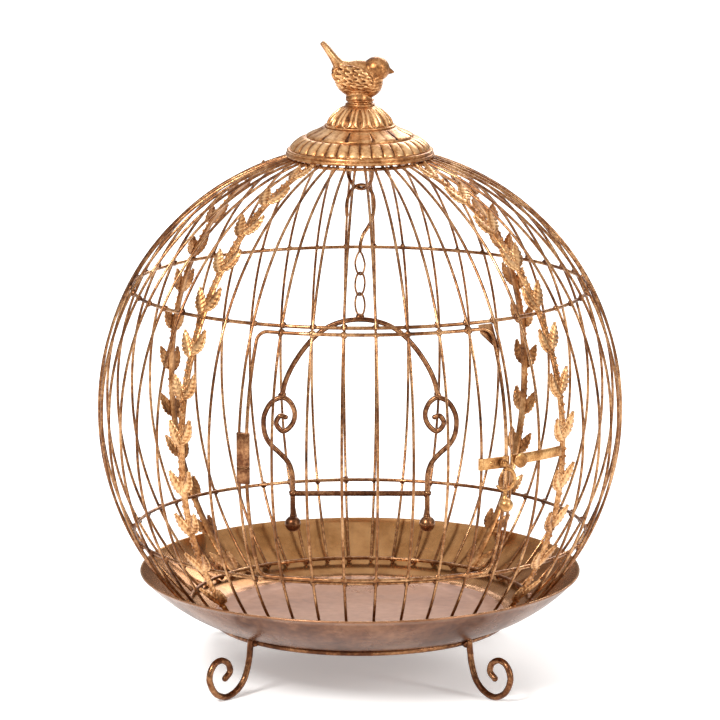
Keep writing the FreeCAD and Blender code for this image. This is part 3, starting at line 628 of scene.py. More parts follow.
def leaf(shape, azimuth, elevation, side, seed):
    """Serrated leaf with a raised midrib and side veins; its tip curls outward."""
    vary = noise.noise(Vector((seed * 1.7, elevation * 0.3, azimuth)))
    tip = math.radians(elevation + math.degrees(LEAF_TIP[1] / BAR_RADIUS))
    room = BAR_RADIUS * math.cos(tip) * math.radians(BAR_PITCH) - WIRE_R
    narrow = min(1.0, room / (LEAF_TIP[0] + 1.0))
    front, back, relief = [], [], []
    for row in range(LEAF_ROWS + 1):
        t = row / LEAF_ROWS
        saw = (t * LEAF_TEETH) % 1.0
        plump = math.sin(math.pi * min(0.97, 0.06 + t * 0.93) ** 0.85) ** 0.7
        width = LEAF_WIDE * plump * (1.1 - TOOTH_DEPTH * saw)
        bow = LEAF_BOW * math.sin(math.pi * t)
        x = LEAF_BASE[0] + (LEAF_TIP[0] - LEAF_BASE[0]) * t + bow * 0.8
        y = LEAF_BASE[1] + (LEAF_TIP[1] - LEAF_BASE[1]) * t - bow * 0.45
        line, under, values = [], [], []
        for k in range(LEAF_ACROSS):
            u = 2.0 * k / (LEAF_ACROSS - 1) - 1.0
            rib = math.exp(-(u / RIB_WIDTH) ** 2)
            lengthwise = abs(math.sin((t * LEAF_TEETH - abs(u) * 0.8) * math.pi))
            vein = lengthwise * abs(math.sin(u * 1.5 * math.pi)) * (1 - rib)
            curl = LEAF_CURL * t * t * (1.0 + 0.5 * vary)
            lift = LEAF_RISE + curl - LEAF_CUP * u * u + RIB_RISE * rib + VEIN_RISE * vein
            px = x + u * width * 0.88
            py = y - u * width * 0.5
            px = side * px * narrow
            line.append(cage_local(azimuth, elevation, px, py, lift))
            under.append(cage_local(azimuth, elevation, px, py, lift - LEAF_THICK - 0.5 * rib))
            values.append(min(1.0, 0.2 + 0.6 * rib + 0.65 * vein + 0.3 * abs(u) ** 3))
        front.append(line)
        back.append(under)
        relief.append(values)
    rings, reliefs = [], []
    for line, under, values in zip(front, back, relief):
        ring_of = line + under[::-1]
        rings.append(ring_of if side > 0 else ring_of[::-1])
        both = values + [BACK_RELIEF] * len(values)
        reliefs.append(both if side > 0 else both[::-1])
    shape.loft(rings, reliefs)


def berries(shape, azimuth):
    """Raised berries that cover the stem's outer face."""
    for n in range(BERRY_ROWS):
        elevation = HOOP_ELEV + 1.0 + (TOP_RING_ELEV - HOOP_ELEV - 2.0) * n / (BERRY_ROWS - 1)
        for column in (-1, 0, 1):
            shift = 0.5 if column else 0.0
            centre = cage_local(azimuth, elevation + shift, column * BERRY_PITCH, 0.0, BERRY_R)
            grown = BERRY_R + 0.25 * noise.noise(centre * 0.9)
            axes = (polar(azimuth + 90.0, grown, 0), polar(azimuth, grown, 0), UP * grown)
            shape.blob(centre, axes, sides=7, rows=4, rough=0.2)


def garland(azimuth):
    shape = Shape()
    rings = []
    for elevation in spread(TOP_RING_ELEV - 0.2, HOOP_ELEV - 0.2, STEM_STEPS):
        rings.append([cage_local(azimuth, elevation, x * STEM_HALF, 0, z) for x, z in STEM_SECTION])
    shape.loft(rings)
    berries(shape, azimuth)
    for n in range(LEAF_PAIRS):
        elevation = FIRST_LEAF + (LAST_LEAF - FIRST_LEAF) * n / (LEAF_PAIRS - 1)
        for side in (-1, 1):
            leaf(shape, azimuth, elevation + 0.35 * side, side, n)
    return shape


for name, azimuth in GARLANDS.items():
    piece("garland_" + name + "_leaves", garland(azimuth), "cage", GOLD,
          ["garland_" + name])


# ---- door ----
DOOR_STEPS = 40
HINGE_STEPS = 14
BEND_STEPS = 6


def door_path():
    """Closed path of the door's rod, which is straight where it turns in the sleeves."""
    corner = math.degrees(DOOR_CORNER / BAR_RADIUS)
    widths = {level: math.degrees(DOOR_CORNER / (BAR_RADIUS * math.cos(math.radians(level))))
              for level in (DOOR_TOP, DOOR_BOTTOM)}
    top, bottom = widths[DOOR_TOP], widths[DOOR_BOTTOM]
    upper, lower = DOOR_TOP - corner, DOOR_BOTTOM + corner
    path = []

    def bend(azimuth, elevation, width, start):
        for turn in spread(start, start - 90.0, BEND_STEPS)[:-1]:
            angle = math.radians(turn)
            path.append(cage_point(azimuth + width * math.cos(angle), elevation + corner * math.sin(angle),
                                   BAR_RADIUS))

    path.extend(cage_point(a, DOOR_TOP, BAR_RADIUS)
                for a in spread(HINGE_AZIMUTH + top, DOOR_RIGHT - top, DOOR_STEPS)[:-1])
    bend(DOOR_RIGHT - top, upper, top, 90.0)
    path.extend(cage_point(DOOR_RIGHT, e, BAR_RADIUS) for e in spread(upper, lower, DOOR_STEPS)[:-1])
    bend(DOOR_RIGHT - bottom, lower, bottom, 0.0)
    path.extend(cage_point(a, DOOR_BOTTOM, BAR_RADIUS)
                for a in spread(DOOR_RIGHT - bottom, HINGE_AZIMUTH + bottom, DOOR_STEPS)[:-1])
    bend(HINGE_AZIMUTH + bottom, lower, bottom, -90.0)
    low = -math.degrees(math.asin((Z_LOWER - HINGE_LOW) / BAR_RADIUS))
    high = math.degrees(math.asin((HINGE_HIGH - Z_UPPER) / BAR_RADIUS))
    path.extend(cage_point(HINGE_AZIMUTH, e, BAR_RADIUS) for e in spread(lower, low, HINGE_STEPS)[:-1])
    path.extend(polar(HINGE_AZIMUTH, HINGE_RADIUS, z)
                for z in spread(HINGE_LOW, HINGE_HIGH, HINGE_STEPS)[:-1])
    path.extend(cage_point(HINGE_AZIMUTH, e, BAR_RADIUS) for e in spread(high, upper, HINGE_STEPS)[:-1])
    bend(HINGE_AZIMUTH + top, upper, top, 180.0)
    return path


door = Shape()
door.tube(door_path(), BAND_R, closed=True, sides=12, uneven=0.02)
for azimuth in STUBS:
    for elevation in (DOOR_TOP, DOOR_BOTTOM):
        weld(door, azimuth, elevation, BAR_RADIUS - DOOR_WELD_IN, DOOR_WELD)
piece("door_frame_rod", door, "door", WIRE, ["door_frame"])
uprights = Shape()
for azimuth in STUBS:
    uprights.tube(meridian_path(azimuth, DOOR_TOP, DOOR_BOTTOM), WIRE_R)
piece("door_wires", uprights, "door", WIRE, ["door_bars"])


SLEEVE_HEM = ((0.0, 0.35), (0.15, 0.1), (0.45, 0.0))  # distance from the end, how far it draws in
SLEEVE_WAIST = 0.06
SLEEVE_PINCH = 0.8


def sleeve(low, high):
    """Sheet folded round the jamb and the door's rod, pinched in between them."""
    spot = Local(HINGE_AZIMUTH, HINGE_RADIUS, 0)
    reach = -math.radians(HINGE_AZIMUTH - JAMB_LEFT) * HINGE_RADIUS
    rings, relief = [], []
    levels = [(low + rise, inset) for rise, inset in SLEEVE_HEM]
    levels += [((low + high) / 2, SLEEVE_WAIST)]
    levels += [(high - rise, inset) for rise, inset in reversed(SLEEVE_HEM)]
    for z, inset in levels:
        reach_out = SLEEVE_R - inset
        line = [(reach_out * math.cos(t), reach_out * math.sin(t))
                for t in spread(-math.pi / 2, math.pi / 2, 8)]
        line += [(reach * 0.5, SLEEVE_R * SLEEVE_PINCH - inset)]
        line += [(reach + reach_out * math.cos(t), reach_out * math.sin(t))
                 for t in spread(math.pi / 2, 1.5 * math.pi, 8)]
        line += [(reach * 0.5, -SLEEVE_R * SLEEVE_PINCH + inset)]
        rings.append([spot.at(x, z, y) for x, y in line])
        relief.append([0.75 if inset else BACK_RELIEF] * len(line))
    shape = Shape()
    shape.loft(rings, relief)
    return shape


for name, (low, high) in SLEEVES.items():
    piece("hinge_sleeve_" + name + "_sheet", sleeve(low, high), "cage", ROD,
          ["hinge_sleeve_" + name])


# ---- latch ----
def flat_bar(shape, path, normal, widths, thick, sides=14):
    """Bar of rounded oblong section along a flat path."""
    rings = []
    for n, point in enumerate(path):
        after, before = path[min(n + 1, len(path) - 1)], path[max(n - 1, 0)]
        side = (after - before).normalized().cross(normal).normalized()
        ring_of = []
        for k in range(sides):
            angle = 2 * math.pi * k / sides
            cos, sin = math.cos(angle), math.sin(angle)
            ring_of.append(point + side * widths[n] * math.copysign(abs(cos) ** 0.6, cos)
                           + normal * thick * math.copysign(abs(sin) ** 0.6, sin))
        rings.append(ring_of)
    shape.loft(rings)


LATCH_C = (1.4, -11.6)  # centre of the C, right of and below the pin
LATCH_C_R = 7.6
LATCH_C_STEPS = 30
LATCH_C_WIDTH = 1.5
LATCH_C_TAPER = 0.68
LATCH_STALK = [(1.2, 18.3), (1.75, 18.9), (1.5, 20.8), (1.3, 22.9), (2.1, 23.9), (2.6, 24.6), (2.5, 25.4),
               (1.7, 25.8)]
KNOB_R = 5.0
KNOB_Z = -29.6


def latch():
    """Cast C with a boss round the pin, a turned stalk and a ball to hold."""
    spot = Local(LATCH_AZIMUTH, LATCH_INNER, LATCH_Z)
    middle = LATCH_THICK / 2
    x, y = LATCH_C
    path = [spot.at(x + LATCH_C_R * math.cos(math.radians(t)), y + LATCH_C_R * math.sin(math.radians(t)),
                    middle) for t in spread(96.0, -150.0, LATCH_C_STEPS)]
    widths = [LATCH_C_WIDTH - LATCH_C_TAPER * n / LATCH_C_STEPS for n in range(LATCH_C_STEPS + 1)]
    shape = Shape()
    flat_bar(shape, path, spot.z, widths, middle)
    boss = [(2.4, 0.02), (2.85, 0.3), (2.9, middle), (2.85, LATCH_THICK - 0.3), (2.4, LATCH_THICK)]
    shape.spin(spot.origin, spot.z, boss, 28)
    shape.spin(spot.at(x, 0, middle), -UP, LATCH_STALK, 24)
    knob = [(KNOB_R * math.cos(t), KNOB_R * math.sin(t)) for t in spread(-1.45, 1.45, 14)]
    shape.spin(spot.at(x, KNOB_Z, middle + 1.2), -UP, knob, 28,
               lambda share, row: (0.12 * noise.noise(Vector((share * 7.0, row * 0.4, 1.0))), 0.6))
    return shape


piece("latch_hook_cast", latch(), "latch", BRASS, ["latch_hook"])

pin_spot = Local(LATCH_AZIMUTH, 0, LATCH_Z)
pin = Shape()
PIN_TOP = LATCH_INNER + LATCH_THICK
PIN_HEAD = ((1.2, 0.1), (2.3, 0.1), (2.5, 0.4), (2.45, 1.2), (1.9, 1.8), (1.0, 2.2), (0.2, 2.3))
pin_profile = [(1.0, BAR_RADIUS - 0.6), (1.2, BAR_RADIUS)] + [(r, PIN_TOP + rise) for r, rise in PIN_HEAD]
pin.spin(pin_spot.origin, pin_spot.z, pin_profile, 24)
piece("latch_pin_turned", pin, "door", BRASS, ["latch_pin"])

KEEPER_Z = LATCH_Z + 1.0
STRAP_SINK = 0.06  # overlap of the strap with the wires it crosses
STRAP_SECTION = ((-3.5, 0.0), (3.5, 0.0), (3.7, 0.3), (3.6, 1.0), (3.2, 1.2), (-3.2, 1.2), (-3.6, 1.0),
                 (-3.7, 0.3))
keeper = Shape()
strap_rings = []
for azimuth in spread(KEEPER_AZIMUTH - 1.5, GARLANDS["front_right"] - 1.35, 26):
    spot = Local(azimuth, CAGE_RADIUS - STRAP_SINK, KEEPER_Z)
    strap_rings.append([spot.at(0, y, z) for y, z in STRAP_SECTION])
keeper.loft(strap_rings)
piece("keeper_strap_sheet", keeper, "cage", BRASS, ["keeper_strap"])
stud = Shape()
stud_spot = Local(KEEPER_AZIMUTH, 0, KEEPER_Z)
STUD_GAP = 0.75  # room for the latch to turn under the stud's head
HEAD = PIN_TOP + STUD_GAP
STUD_HEAD = ((4.9, 0.0), (5.3, 0.3), (5.4, 0.8), (5.1, 1.3), (3.9, 1.5), (0.2, 1.5))
stud_profile = [(2.7, CAGE_RADIUS + 1.1), (2.4, CAGE_RADIUS + 1.7), (2.35, HEAD - 0.1)]
stud_profile += [(r, HEAD + rise) for r, rise in STUD_HEAD]
stud.spin(stud_spot.origin, stud_spot.z, stud_profile, 32)
piece("keeper_stud_turned", stud, "cage", BRASS, ["keeper_stud"])

# Nodes shown as they are in the CAD part, with a finish and slightly worn edges.
EDGE_WEAR = 0.25
CARRIED = {"stop_gusset_upper": WIRE, "stop_gusset_lower": WIRE, "latch_strap": BRASS, "strap_rivet": BRASS}
for name, material in CARRIED.items():
    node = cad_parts[name]
    node.data.materials.clear()
    node.data.materials.append(material)
    even = node.data.attributes.new("relief", "FLOAT", "POINT")
    even.data.foreach_set("value", [EVEN] * len(node.data.vertices))
    softened = node.modifiers.new("worn_edges", "BEVEL")
    softened.width = EDGE_WEAR * MM
    softened.segments = 2


# ---- cap ----
GADROONS = 36
NOTCHES = 12
PETALS = 14
CAP_SIDES = 504
WORN_DEPTH = 0.12
ROUND_TURN = 6.283  # angle that carries the wear once round a turned piece


def smoothed(profile, per=5):
    return [(p.x, p.y) for p in smooth_path([Vector((r, z, 0)) for r, z in profile], per=per)]


def step_up(value, low, high):
    share = min(1.0, max(0.0, (value - low) / (high - low)))
    return share * share * (3 - 2 * share)


def worn(share, row):
    """Unevenness of a turned surface, with even relief."""
    angle = share * ROUND_TURN
    return WORN_DEPTH * noise.noise(Vector((math.cos(angle) * 3, math.sin(angle) * 3, row * 0.3))), EVEN


def across_lobe(share, count):
    """Where a share of the turn falls across one of count lobes, from -1 to 1."""
    return (share * count) % 1.0 * 2.0 - 1.0


def tier(name, profile, shaper, node):
    shape = Shape()
    shape.spin(Vector((0, 0, 0)), UP, profile, CAP_SIDES, shaper)
    piece(name, shape, "cage", GOLD, [node])


# Radius and height of each bead's centre, its half width and half height, and where its arc starts and ends.
RIM_BEADS = ((52.2, 379.5, 1.35, 1.3, -1.4, 1.3), (51.6, 382.1, 1.25, 1.2, -1.2, 1.45))
rim_profile = [(50.4, 378.2)]
for r, z, wide, tall, start, end in RIM_BEADS:
    rim_profile += [(r + wide * math.cos(t), z + tall * math.sin(t)) for t in spread(start, end, 8)]
rim_profile += [(49.0, 383.2), (48.4, 382.0)]
tier("cap_rim_beaded", rim_profile, worn, "cap_rim")

skirt_profile = smoothed([(50.2, 383.0), (49.4, 385.2), (47.2, 387.8), (44.0, 390.2), (40.8, 391.8),
                          (37.6, 392.2)])
GADROON_SWELL = 1.7
GADROON_SINK = 1.0


def gadroon(share, row):
    """Round lobes with sharp valleys, fading out at both edges."""
    across = across_lobe(share, GADROONS)
    lobe = math.sqrt(max(0.0, 1.0 - across * across))
    along = row / (len(skirt_profile) - 1)
    fade = step_up(along, 0.0, 0.12) * (1.0 - step_up(along, 0.72, 0.92))
    return (lobe * GADROON_SWELL - GADROON_SINK) * fade, EVEN + (lobe - 0.6) * 0.8 * fade


tier("cap_skirt_gadroons", skirt_profile, gadroon, "cap_skirt")

cone_profile = smoothed([(38.4, 391.9), (38.3, 393.2), (36.9, 394.4), (33.6, 395.8), (30.0, 397.4),
                         (27.2, 399.0), (25.0, 399.6)])
NOTCH_DEPTH = 1.3
NOTCH_WIDE = 0.2
NOTCH_NARROW = 0.02


def notch(share, row):
    """Wedge hollows that taper inward, with low swelling leaves between them."""
    across = abs(across_lobe(share, NOTCHES))
    along = row / (len(cone_profile) - 1)
    wedge = NOTCH_WIDE * (1.0 - along) + NOTCH_NARROW
    depth = 1.0 - step_up(across, wedge * 0.6, wedge)
    depth = depth * step_up(along, 0.1, 0.2) * (1.0 - step_up(along, 0.7, 0.85))
    swell = math.sqrt(max(0.0, 1.0 - ((across - 0.62) / 0.3) ** 2)) * math.sin(math.pi * along) * 0.6
    return swell * 0.4 - depth * NOTCH_DEPTH, EVEN + swell * 0.4 - depth * 0.5


tier("cap_cone_notched", cone_profile, notch, "cap_cone")

dome_profile = smoothed([(25.4, 399.7), (25.5, 400.7), (23.6, 401.3), (22.8, 403.0), (21.3, 405.8),
                         (18.4, 409.0), (14.8, 411.9), (11.8, 413.8), (10.8, 414.5)], 6)
PETAL_START = 0.2  # share of the dome's profile where the petals begin
PETAL_LONG = 0.72
PETAL_EDGE = 0.16
PETAL_HALF = 0.92
HOLLOW_HALF = 0.52
PETAL_RISE = 1.1
HOLLOW_DEPTH = 1.3
PETAL_SINK = 0.3


def petal(share, row):
    """U-shaped petals, each with a raised edge and a lens-shaped hollow."""
    across = across_lobe(share, PETALS)
    along = row / (len(dome_profile) - 1)
    inside = (along - PETAL_START) / PETAL_LONG
    if not 0.0 < inside < 1.0:
        return 0.0, 0.6
    gap = PETAL_HALF * (1.0 - max(0.0, 0.32 - inside) ** 2 * 9.0)
    edge = 1.0 - step_up(abs(across), gap - PETAL_EDGE, gap)
    lens = math.sqrt(max(0.0, 1.0 - ((inside - 0.46) / 0.4) ** 2)) * HOLLOW_HALF
    hollow = (1.0 - step_up(abs(across), lens * 0.6, lens)) if lens > 0.05 else 0.0
    fade = step_up(inside, 0.0, 0.08) * (1.0 - step_up(inside, 0.86, 1.0))
    rise = PETAL_RISE * edge - HOLLOW_DEPTH * hollow - PETAL_SINK
    return fade * rise, EVEN + fade * (0.4 * edge - 0.5 * hollow - 0.1)


tier("cap_dome_petals", dome_profile, petal, "cap_dome")

collar_profile = smoothed([(9.6, 414.4), (10.7, 414.9), (10.5, 415.9), (9.3, 416.6), (9.2, 417.5),
                           (10.2, 418.2), (10.2, 418.9), (8.0, 419.3), (2.0, 419.3)], 3)
tier("cap_collar_turned", collar_profile, worn, "cap_collar")


# ---- bird ----
BIRD_VOXEL = 0.5
WING_CENTRE = Vector((-5.5, 0, 435.6))
WING_LONG = 15.5
WING_DEEP = 8.4
WING_TILT = math.radians(16.0)
# Centre, half lengths and tilt in degrees of the rounds that make the breast, neck, head and back.
ROUNDS = (
    ((-1.0, 0, 433.0), (17.6, 10.8, 13.6), 10.0),
    ((5.0, 0, 431.4), (11.5, 10.2, 11.6), -16.0),
    ((9.0, 0, 437.6), (8.6, 8.2, 8.6), -30.0),
    ((11.8, 0, 440.8), (9.6, 8.9, 9.0), 0.0),
    ((0.5, 0, 439.6), (13.5, 8.2, 7.6), 4.0),
    ((-9.0, 0, 440.2), (9.0, 6.6, 6.2), 24.0),
    ((17.4, 0, 440.0), (4.6, 4.4, 3.9), 14.0),
)
BEAK = ((3.4, 0.0), (2.9, 1.8), (2.1, 3.6), (1.3, 5.2), (0.6, 6.4))
# x, z and the half lengths across and through of the tail's sections.
TAIL = ((-8.0, 437.0, 6.0, 6.4), (-14.0, 442.0, 4.8, 4.6), (-19.0, 449.0, 4.0, 2.9), (-24.0, 456.0, 4.2, 2.3),
        (-27.2, 459.9, 3.8, 1.8))
TAIL_LEAN = math.radians(35.0)
STAND = ((9.2, 418.9), (9.6, 419.6), (9.0, 421.2), (8.6, 423.6), (9.4, 426.0))
EYE = ((2.0, 0.0), (2.0, 0.5), (1.6, 0.95), (1.35, 0.7), (1.25, 0.9), (0.9, 1.3), (0.3, 1.5))
EASE_STEPS = 7
EASE = 0.6


def tilted(axes, tilt):
    turn = Euler((0, math.radians(tilt), 0)).to_matrix()
    return [turn @ Vector(axis) for axis in axes]


def egg(shape, centre, halves, tilt=0.0):
    a, b, c = halves
    shape.blob(Vector(centre), tilted(((a, 0, 0), (0, b, 0), (0, 0, c)), tilt), sides=36, rows=24, rough=0.0)


def bird_blank():
    """Overlapping rounds of the body before they are melted together."""
    shape = Shape()
    for centre, halves, tilt in ROUNDS:
        egg(shape, centre, halves, tilt)
    shape.spin(Vector((18.4, 0, 440.0)), Vector((5.6, 0, -1.6)), BEAK, 16)
    for side in (-1, 1):
        egg(shape, (WING_CENTRE.x, side * 8.7, WING_CENTRE.z), (WING_LONG, 2.9, WING_DEEP), 14.0)
    rings = []
    for x, z, half_y, half_z in TAIL:
        rings.append([Vector((x + half_z * math.sin(t) * math.cos(TAIL_LEAN), half_y * math.cos(t),
                              z + half_z * math.sin(t) * math.sin(TAIL_LEAN)))
                      for t in spread(0, 2 * math.pi, 20)[:-1]])
    shape.loft(rings)
    shape.spin(Vector((-1.0, 0, 0)), UP, STAND, 36)
    return shape


def feathers(point):
    """How far the surface is raised at a point of the bird, and its relief."""
    flat = Vector((point.x - WING_CENTRE.x, 0, point.z - WING_CENTRE.z))
    along = -(flat.x * math.cos(WING_TILT) + flat.z * -math.sin(WING_TILT))
    across = flat.z * math.cos(WING_TILT) + flat.x * math.sin(WING_TILT)
    wing = step_up(1.0 - math.hypot(along / WING_LONG, across / WING_DEEP), -0.02, 0.1)
    if wing > 0.0 and abs(point.y) > 5.0:
        row = (along + 14.0) / 6.0 + 0.35 * math.cos(across * 1.7)
        barb = abs(math.sin(across * (0.85 if row > 2.6 else 1.35)))
        scale = (row % 1.0) * 0.75 + 0.45 * barb
        return wing * (scale - 0.35), EVEN + wing * (scale - 0.62)
    if point.x < -11.0 and point.z > 440.0:
        groove = abs(math.sin(point.y * 1.15))
        return 0.35 * (groove - 0.5), 0.3 + 0.5 * groove
    if point.z > 436.0 or point.z < 424.0:
        return 0.06 * noise.noise(point * 0.5), EVEN
    row = point.z * 0.42 + 0.25 * math.cos(math.atan2(point.y, point.x) * 9.0)
    scale = row % 1.0
    return 0.28 * (scale - 0.5), 0.35 + 0.35 * scale


def bird():
    """Melt the rounds into one surface, then raise the feathers on it and set the eyes."""
    obj = piece("bird_finial_cast", bird_blank(), "cage", GOLD, ["bird_finial"])
    melt = obj.modifiers.new("melt", "REMESH")
    melt.mode = "VOXEL"
    melt.voxel_size = BIRD_VOXEL * MM
    ease = obj.modifiers.new("ease", "SMOOTH")
    ease.iterations = EASE_STEPS
    ease.factor = EASE
    settled = obj.evaluated_get(bpy.context.evaluated_depsgraph_get())
    mesh = bpy.data.meshes.new_from_object(settled)
    obj.modifiers.clear()
    relief = []
    moved = []
    for vertex in mesh.vertices:
        rise, value = feathers(vertex.co / MM)
        moved.append(vertex.co + vertex.normal * rise * MM)
        relief.append(min(1.0, max(0.0, value)))
    for vertex, spot in zip(mesh.vertices, moved):
        vertex.co = spot
    old = mesh.attributes.get("relief")
    if old:
        mesh.attributes.remove(old)
    mesh.attributes.new("relief", "FLOAT", "POINT").data.foreach_set("value", relief)
    mesh.polygons.foreach_set("use_smooth", [True] * len(mesh.polygons))
    mesh.materials.clear()
    mesh.materials.append(GOLD)
    obj.data = mesh
    eyes = Shape()
    for side in (-1, 1):
        centre = Vector((15.4, side * 7.3, 442.4))
        look = Vector((0.35, side, 0.12)).normalized()
        eyes.spin(centre - look * 0.6, look, EYE, 20)
    piece("bird_eyes", eyes, "cage", GOLD)


bird()


# ---- swing ----
def xz_path(points, top, side=1):
    return [Vector((side * x, 0, top + z)) for x, z in points]


LOOP_END = 390.5
loop_points = [Vector((-LOOP_HALF, 0, z)) for z in spread(LOOP_END, LOOP_BOTTOM + LOOP_HALF, 8)[:-1]]
loop_points += [Vector((-LOOP_HALF * math.cos(t), 0, LOOP_BOTTOM + LOOP_HALF * (1 - math.sin(t))))
                for t in spread(0, math.pi, 20)]
loop_points += [Vector((LOOP_HALF, 0, z)) for z in spread(LOOP_BOTTOM + LOOP_HALF, LOOP_END, 8)[1:]]
loop = Shape()
loop.tube(yawed(loop_points, -45.0), HOOK_R, sides=12, uneven=0.02)
piece("swing_loop_wire", loop, "cage", ROD, ["swing_loop"])

HOOK_PATH = [(-13.2, -20.4), (-13.6, -14.0), (-12.0, -7.6), (-7.4, -2.0), (0.0, 0.0), (8.0, -2.4),
             (13.4, -9.4), (14.4, -18.0), (12.4, -25.8), (8.2, -31.6), (3.6, -36.2), (0.9, -41.6),
             (0.0, -48.0)]
hook = Shape()
hook.tube(yawed(smooth_path(xz_path(HOOK_PATH, HOOK_TOP)), 45.0), HOOK_R, sides=12, rounded=True,
          uneven=0.02)
piece("swing_hook_wire", hook, "hook", WIRE, ["swing_hook"])

LINK_HIGH = 8.4
LINK_WIDE = 4.9
LINK_STEPS = 40


def link_piece(name, node, body, centre_z, yaw, pinch=0.0):
    """Oval of thin wire; pinch draws its upper half in to a drop."""
    points = []
    for n in range(LINK_STEPS):
        angle = 2 * math.pi * n / LINK_STEPS
        squeeze = 1.0 - pinch * max(0.0, math.sin(angle))
        z = centre_z + LINK_HIGH * math.sin(angle)
        points.append(Vector((LINK_WIDE * math.cos(angle) * squeeze, 0, z)))
    shape = Shape()
    shape.tube(yawed(points, yaw), LINK_R, closed=True, sides=10, uneven=0.0)
    piece(name, shape, body, WIRE, [node])


link_piece("hook_eye_wire", "hook_eye", "hook", 299.68, -45.0, 0.35)
link_piece("chain_link_wire", "chain_link", "link", 284.56, 45.0)
link_piece("swing_link_wire", "swing_link", "swing", 269.44, -45.0)

LEG_DROP = 146.0  # from the arch's top to a leg's end
PERCH_DROP = 128.9
PERCH_R = 2.0
JOINT_SPOT = (56.3, 56.0)  # out and down from the arch's top to where a scroll meets it
ARCH_HALF = [(0.0, 0.0), (11.5, -1.3), (22.0, -5.0), (31.5, -11.6), (40.0, -20.9), (47.0, -31.0),
             (51.8, -40.0), (54.6, -47.5), (56.0, -54.2)]
SCROLL = [(54.0, -72.2), (58.2, -71.4), (60.8, -77.0), (55.8, -82.6), (49.4, -77.6), (47.3, -69.4),
          (50.6, -61.2), (56.6, -57.7), (64.4, -61.4), (69.6, -71.4), (69.4, -83.2), (65.6, -91.6),
          (58.6, -98.6), (52.4, -105.6), (49.4, -114.0), (LEG_X, -124.0), (LEG_X, -134.0), (LEG_X, -LEG_DROP)]
arch = Shape()
arch_points = [(-x, z) for x, z in reversed(ARCH_HALF[1:])] + ARCH_HALF
arch.tube(smooth_path(xz_path(arch_points, ARCH_TOP)), ARCH_R, sides=16, rounded=True)
piece("swing_arch_rod", arch, "swing", ROD, ["swing_arch"])
bead = Shape()
bead.blob(Vector((0, 0, ARCH_TOP + 2.2)), half_lengths(3.4, 2.6, 2.3), 16, 10, 0.3)
piece("swing_braze_bead", bead, "swing", ROD, ["braze_bead"])
for name, side in (("left", -1), ("right", 1)):
    scroll = Shape()
    scroll.tube(smooth_path(xz_path(SCROLL, ARCH_TOP, side)), ARCH_R, sides=16, rounded=True)
    joint = Vector((side * JOINT_SPOT[0], 0, ARCH_TOP - JOINT_SPOT[1]))
    scroll.blob(joint, half_lengths(2.7, 2.4, 2.9), 14, 8, 0.4)
    perch_end = Vector((side * LEG_X, 0, ARCH_TOP - PERCH_DROP))
    scroll.blob(perch_end, half_lengths(2.9, 2.5, 2.7), 14, 8, 0.4)
    piece("swing_scroll_" + name + "_rod", scroll, "swing", ROD, ["swing_scroll_" + name])
    weight = Shape()
    ball_z = ARCH_TOP - LEG_DROP - BALL_R + BALL_SINK
    outline = [(BALL_R * math.cos(t), BALL_R * math.sin(t)) for t in spread(-1.48, 1.2, 16)]
    outline += [(2.3, BALL_R * 0.98), (2.15, BALL_R + 1.3)]
    weight.spin(Vector((side * LEG_X, 0, ball_z)), UP, outline, 28,
                lambda share, row: (0.15 * noise.noise(Vector((share * 5.0, row * 0.3, 4.0))), 0.55))
    piece("swing_ball_" + name + "_cast", weight, "swing", ROD, ["swing_ball_" + name])
perch = Shape()
reach = LEG_X - ARCH_R + 0.08
perch.tube([Vector((x, 0, ARCH_TOP - PERCH_DROP)) for x in spread(-reach, reach, 40)], PERCH_R, sides=14,
           uneven=0.05)
piece("swing_perch_rod", perch, "swing", ROD, ["swing_perch"])


# ---- floor, light and camera ----
FLOOR_HALF = 30.0
FLOOR_PALE = (0.93, 0.93, 0.92, 1.0)
FLOOR_GLOW = 0.3
WHITE = (1.0, 1.0, 1.0, 1.0)
HORIZON = (0.16, 0.15, 0.14, 1.0)
AIM = Vector((0, 0, 0.2))
# Name, place, size and power of each light.
LIGHTS = (
    ("key", (-1.5, -2.2, 2.3), (0.8, 0.8), 95.0),
    ("fill", (2.4, -1.8, 1.4), (0.5, 1.4), 34.0),
    ("rear", (0.6, 2.6, 1.8), (2.0, 1.0), 45.0),
)


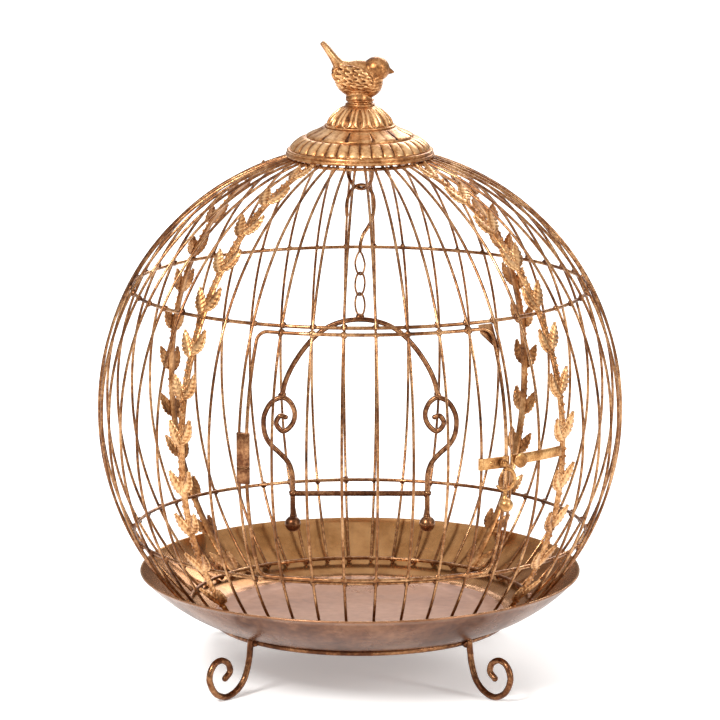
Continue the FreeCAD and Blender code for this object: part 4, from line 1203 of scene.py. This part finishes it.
def floor():
    half = FLOOR_HALF
    mesh = bpy.data.meshes.new("floor")
    mesh.from_pydata([(-half, -half, 0), (half, -half, 0), (half, half, 0), (-half, half, 0)], [],
                     [(0, 1, 2, 3)])
    obj = bpy.data.objects.new("floor", mesh)
    bpy.context.scene.collection.objects.link(obj)
    pale = bpy.data.materials.new("floor_pale")
    pale.use_nodes = True
    shader = pale.node_tree.nodes["Principled BSDF"]
    shader.inputs["Base Color"].default_value = FLOOR_PALE
    shader.inputs["Roughness"].default_value = 0.85
    shader.inputs["Emission Color"].default_value = WHITE
    shader.inputs["Emission Strength"].default_value = FLOOR_GLOW
    mesh.materials.append(pale)
    obj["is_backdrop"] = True


def softbox(name, spot, size, power):
    data = bpy.data.lights.new(name, "AREA")
    data.shape = "RECTANGLE"
    data.size, data.size_y = size
    data.energy = power
    obj = bpy.data.objects.new(name, data)
    obj.location = spot
    obj.rotation_euler = (AIM - Vector(spot)).to_track_quat("-Z", "Y").to_euler()
    bpy.context.scene.collection.objects.link(obj)


def surroundings():
    """Room that is bright overhead and greyer near the horizon."""
    world = bpy.data.worlds.new("studio")
    world.use_nodes = True
    nodes, links = world.node_tree.nodes, world.node_tree.links
    place = nodes.new("ShaderNodeTexCoord")
    split = nodes.new("ShaderNodeSeparateXYZ")
    ramp = nodes.new("ShaderNodeValToRGB")
    ramp.color_ramp.elements[0].position = 0.05
    ramp.color_ramp.elements[0].color = HORIZON
    ramp.color_ramp.elements[1].position = 0.8
    ramp.color_ramp.elements[1].color = WHITE
    links.new(place.outputs["Generated"], split.inputs[0])
    links.new(split.outputs["Z"], ramp.inputs["Fac"])
    links.new(ramp.outputs["Color"], nodes["Background"].inputs["Color"])
    nodes["Background"].inputs["Strength"].default_value = 1.0
    bpy.context.scene.world = world


floor()
surroundings()
for name, spot, size, power in LIGHTS:
    softbox(name, spot, size, power)

CAMERA_SPOT = (0.0, -3.2817, 0.8765)
CAMERA_PITCH = 11.17
CAMERA_LENS = 230.93
camera = bpy.data.cameras.new("camera")
camera.sensor_width = 36.0
camera.lens = CAMERA_LENS
camera_obj = bpy.data.objects.new("camera", camera)
camera_obj.location = CAMERA_SPOT
camera_obj.rotation_euler = (math.radians(90.0 - CAMERA_PITCH), 0, 0)
bpy.context.scene.collection.objects.link(camera_obj)
bpy.context.scene.camera = camera_obj
bpy.context.scene.view_settings.view_transform = "Standard"

low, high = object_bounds()
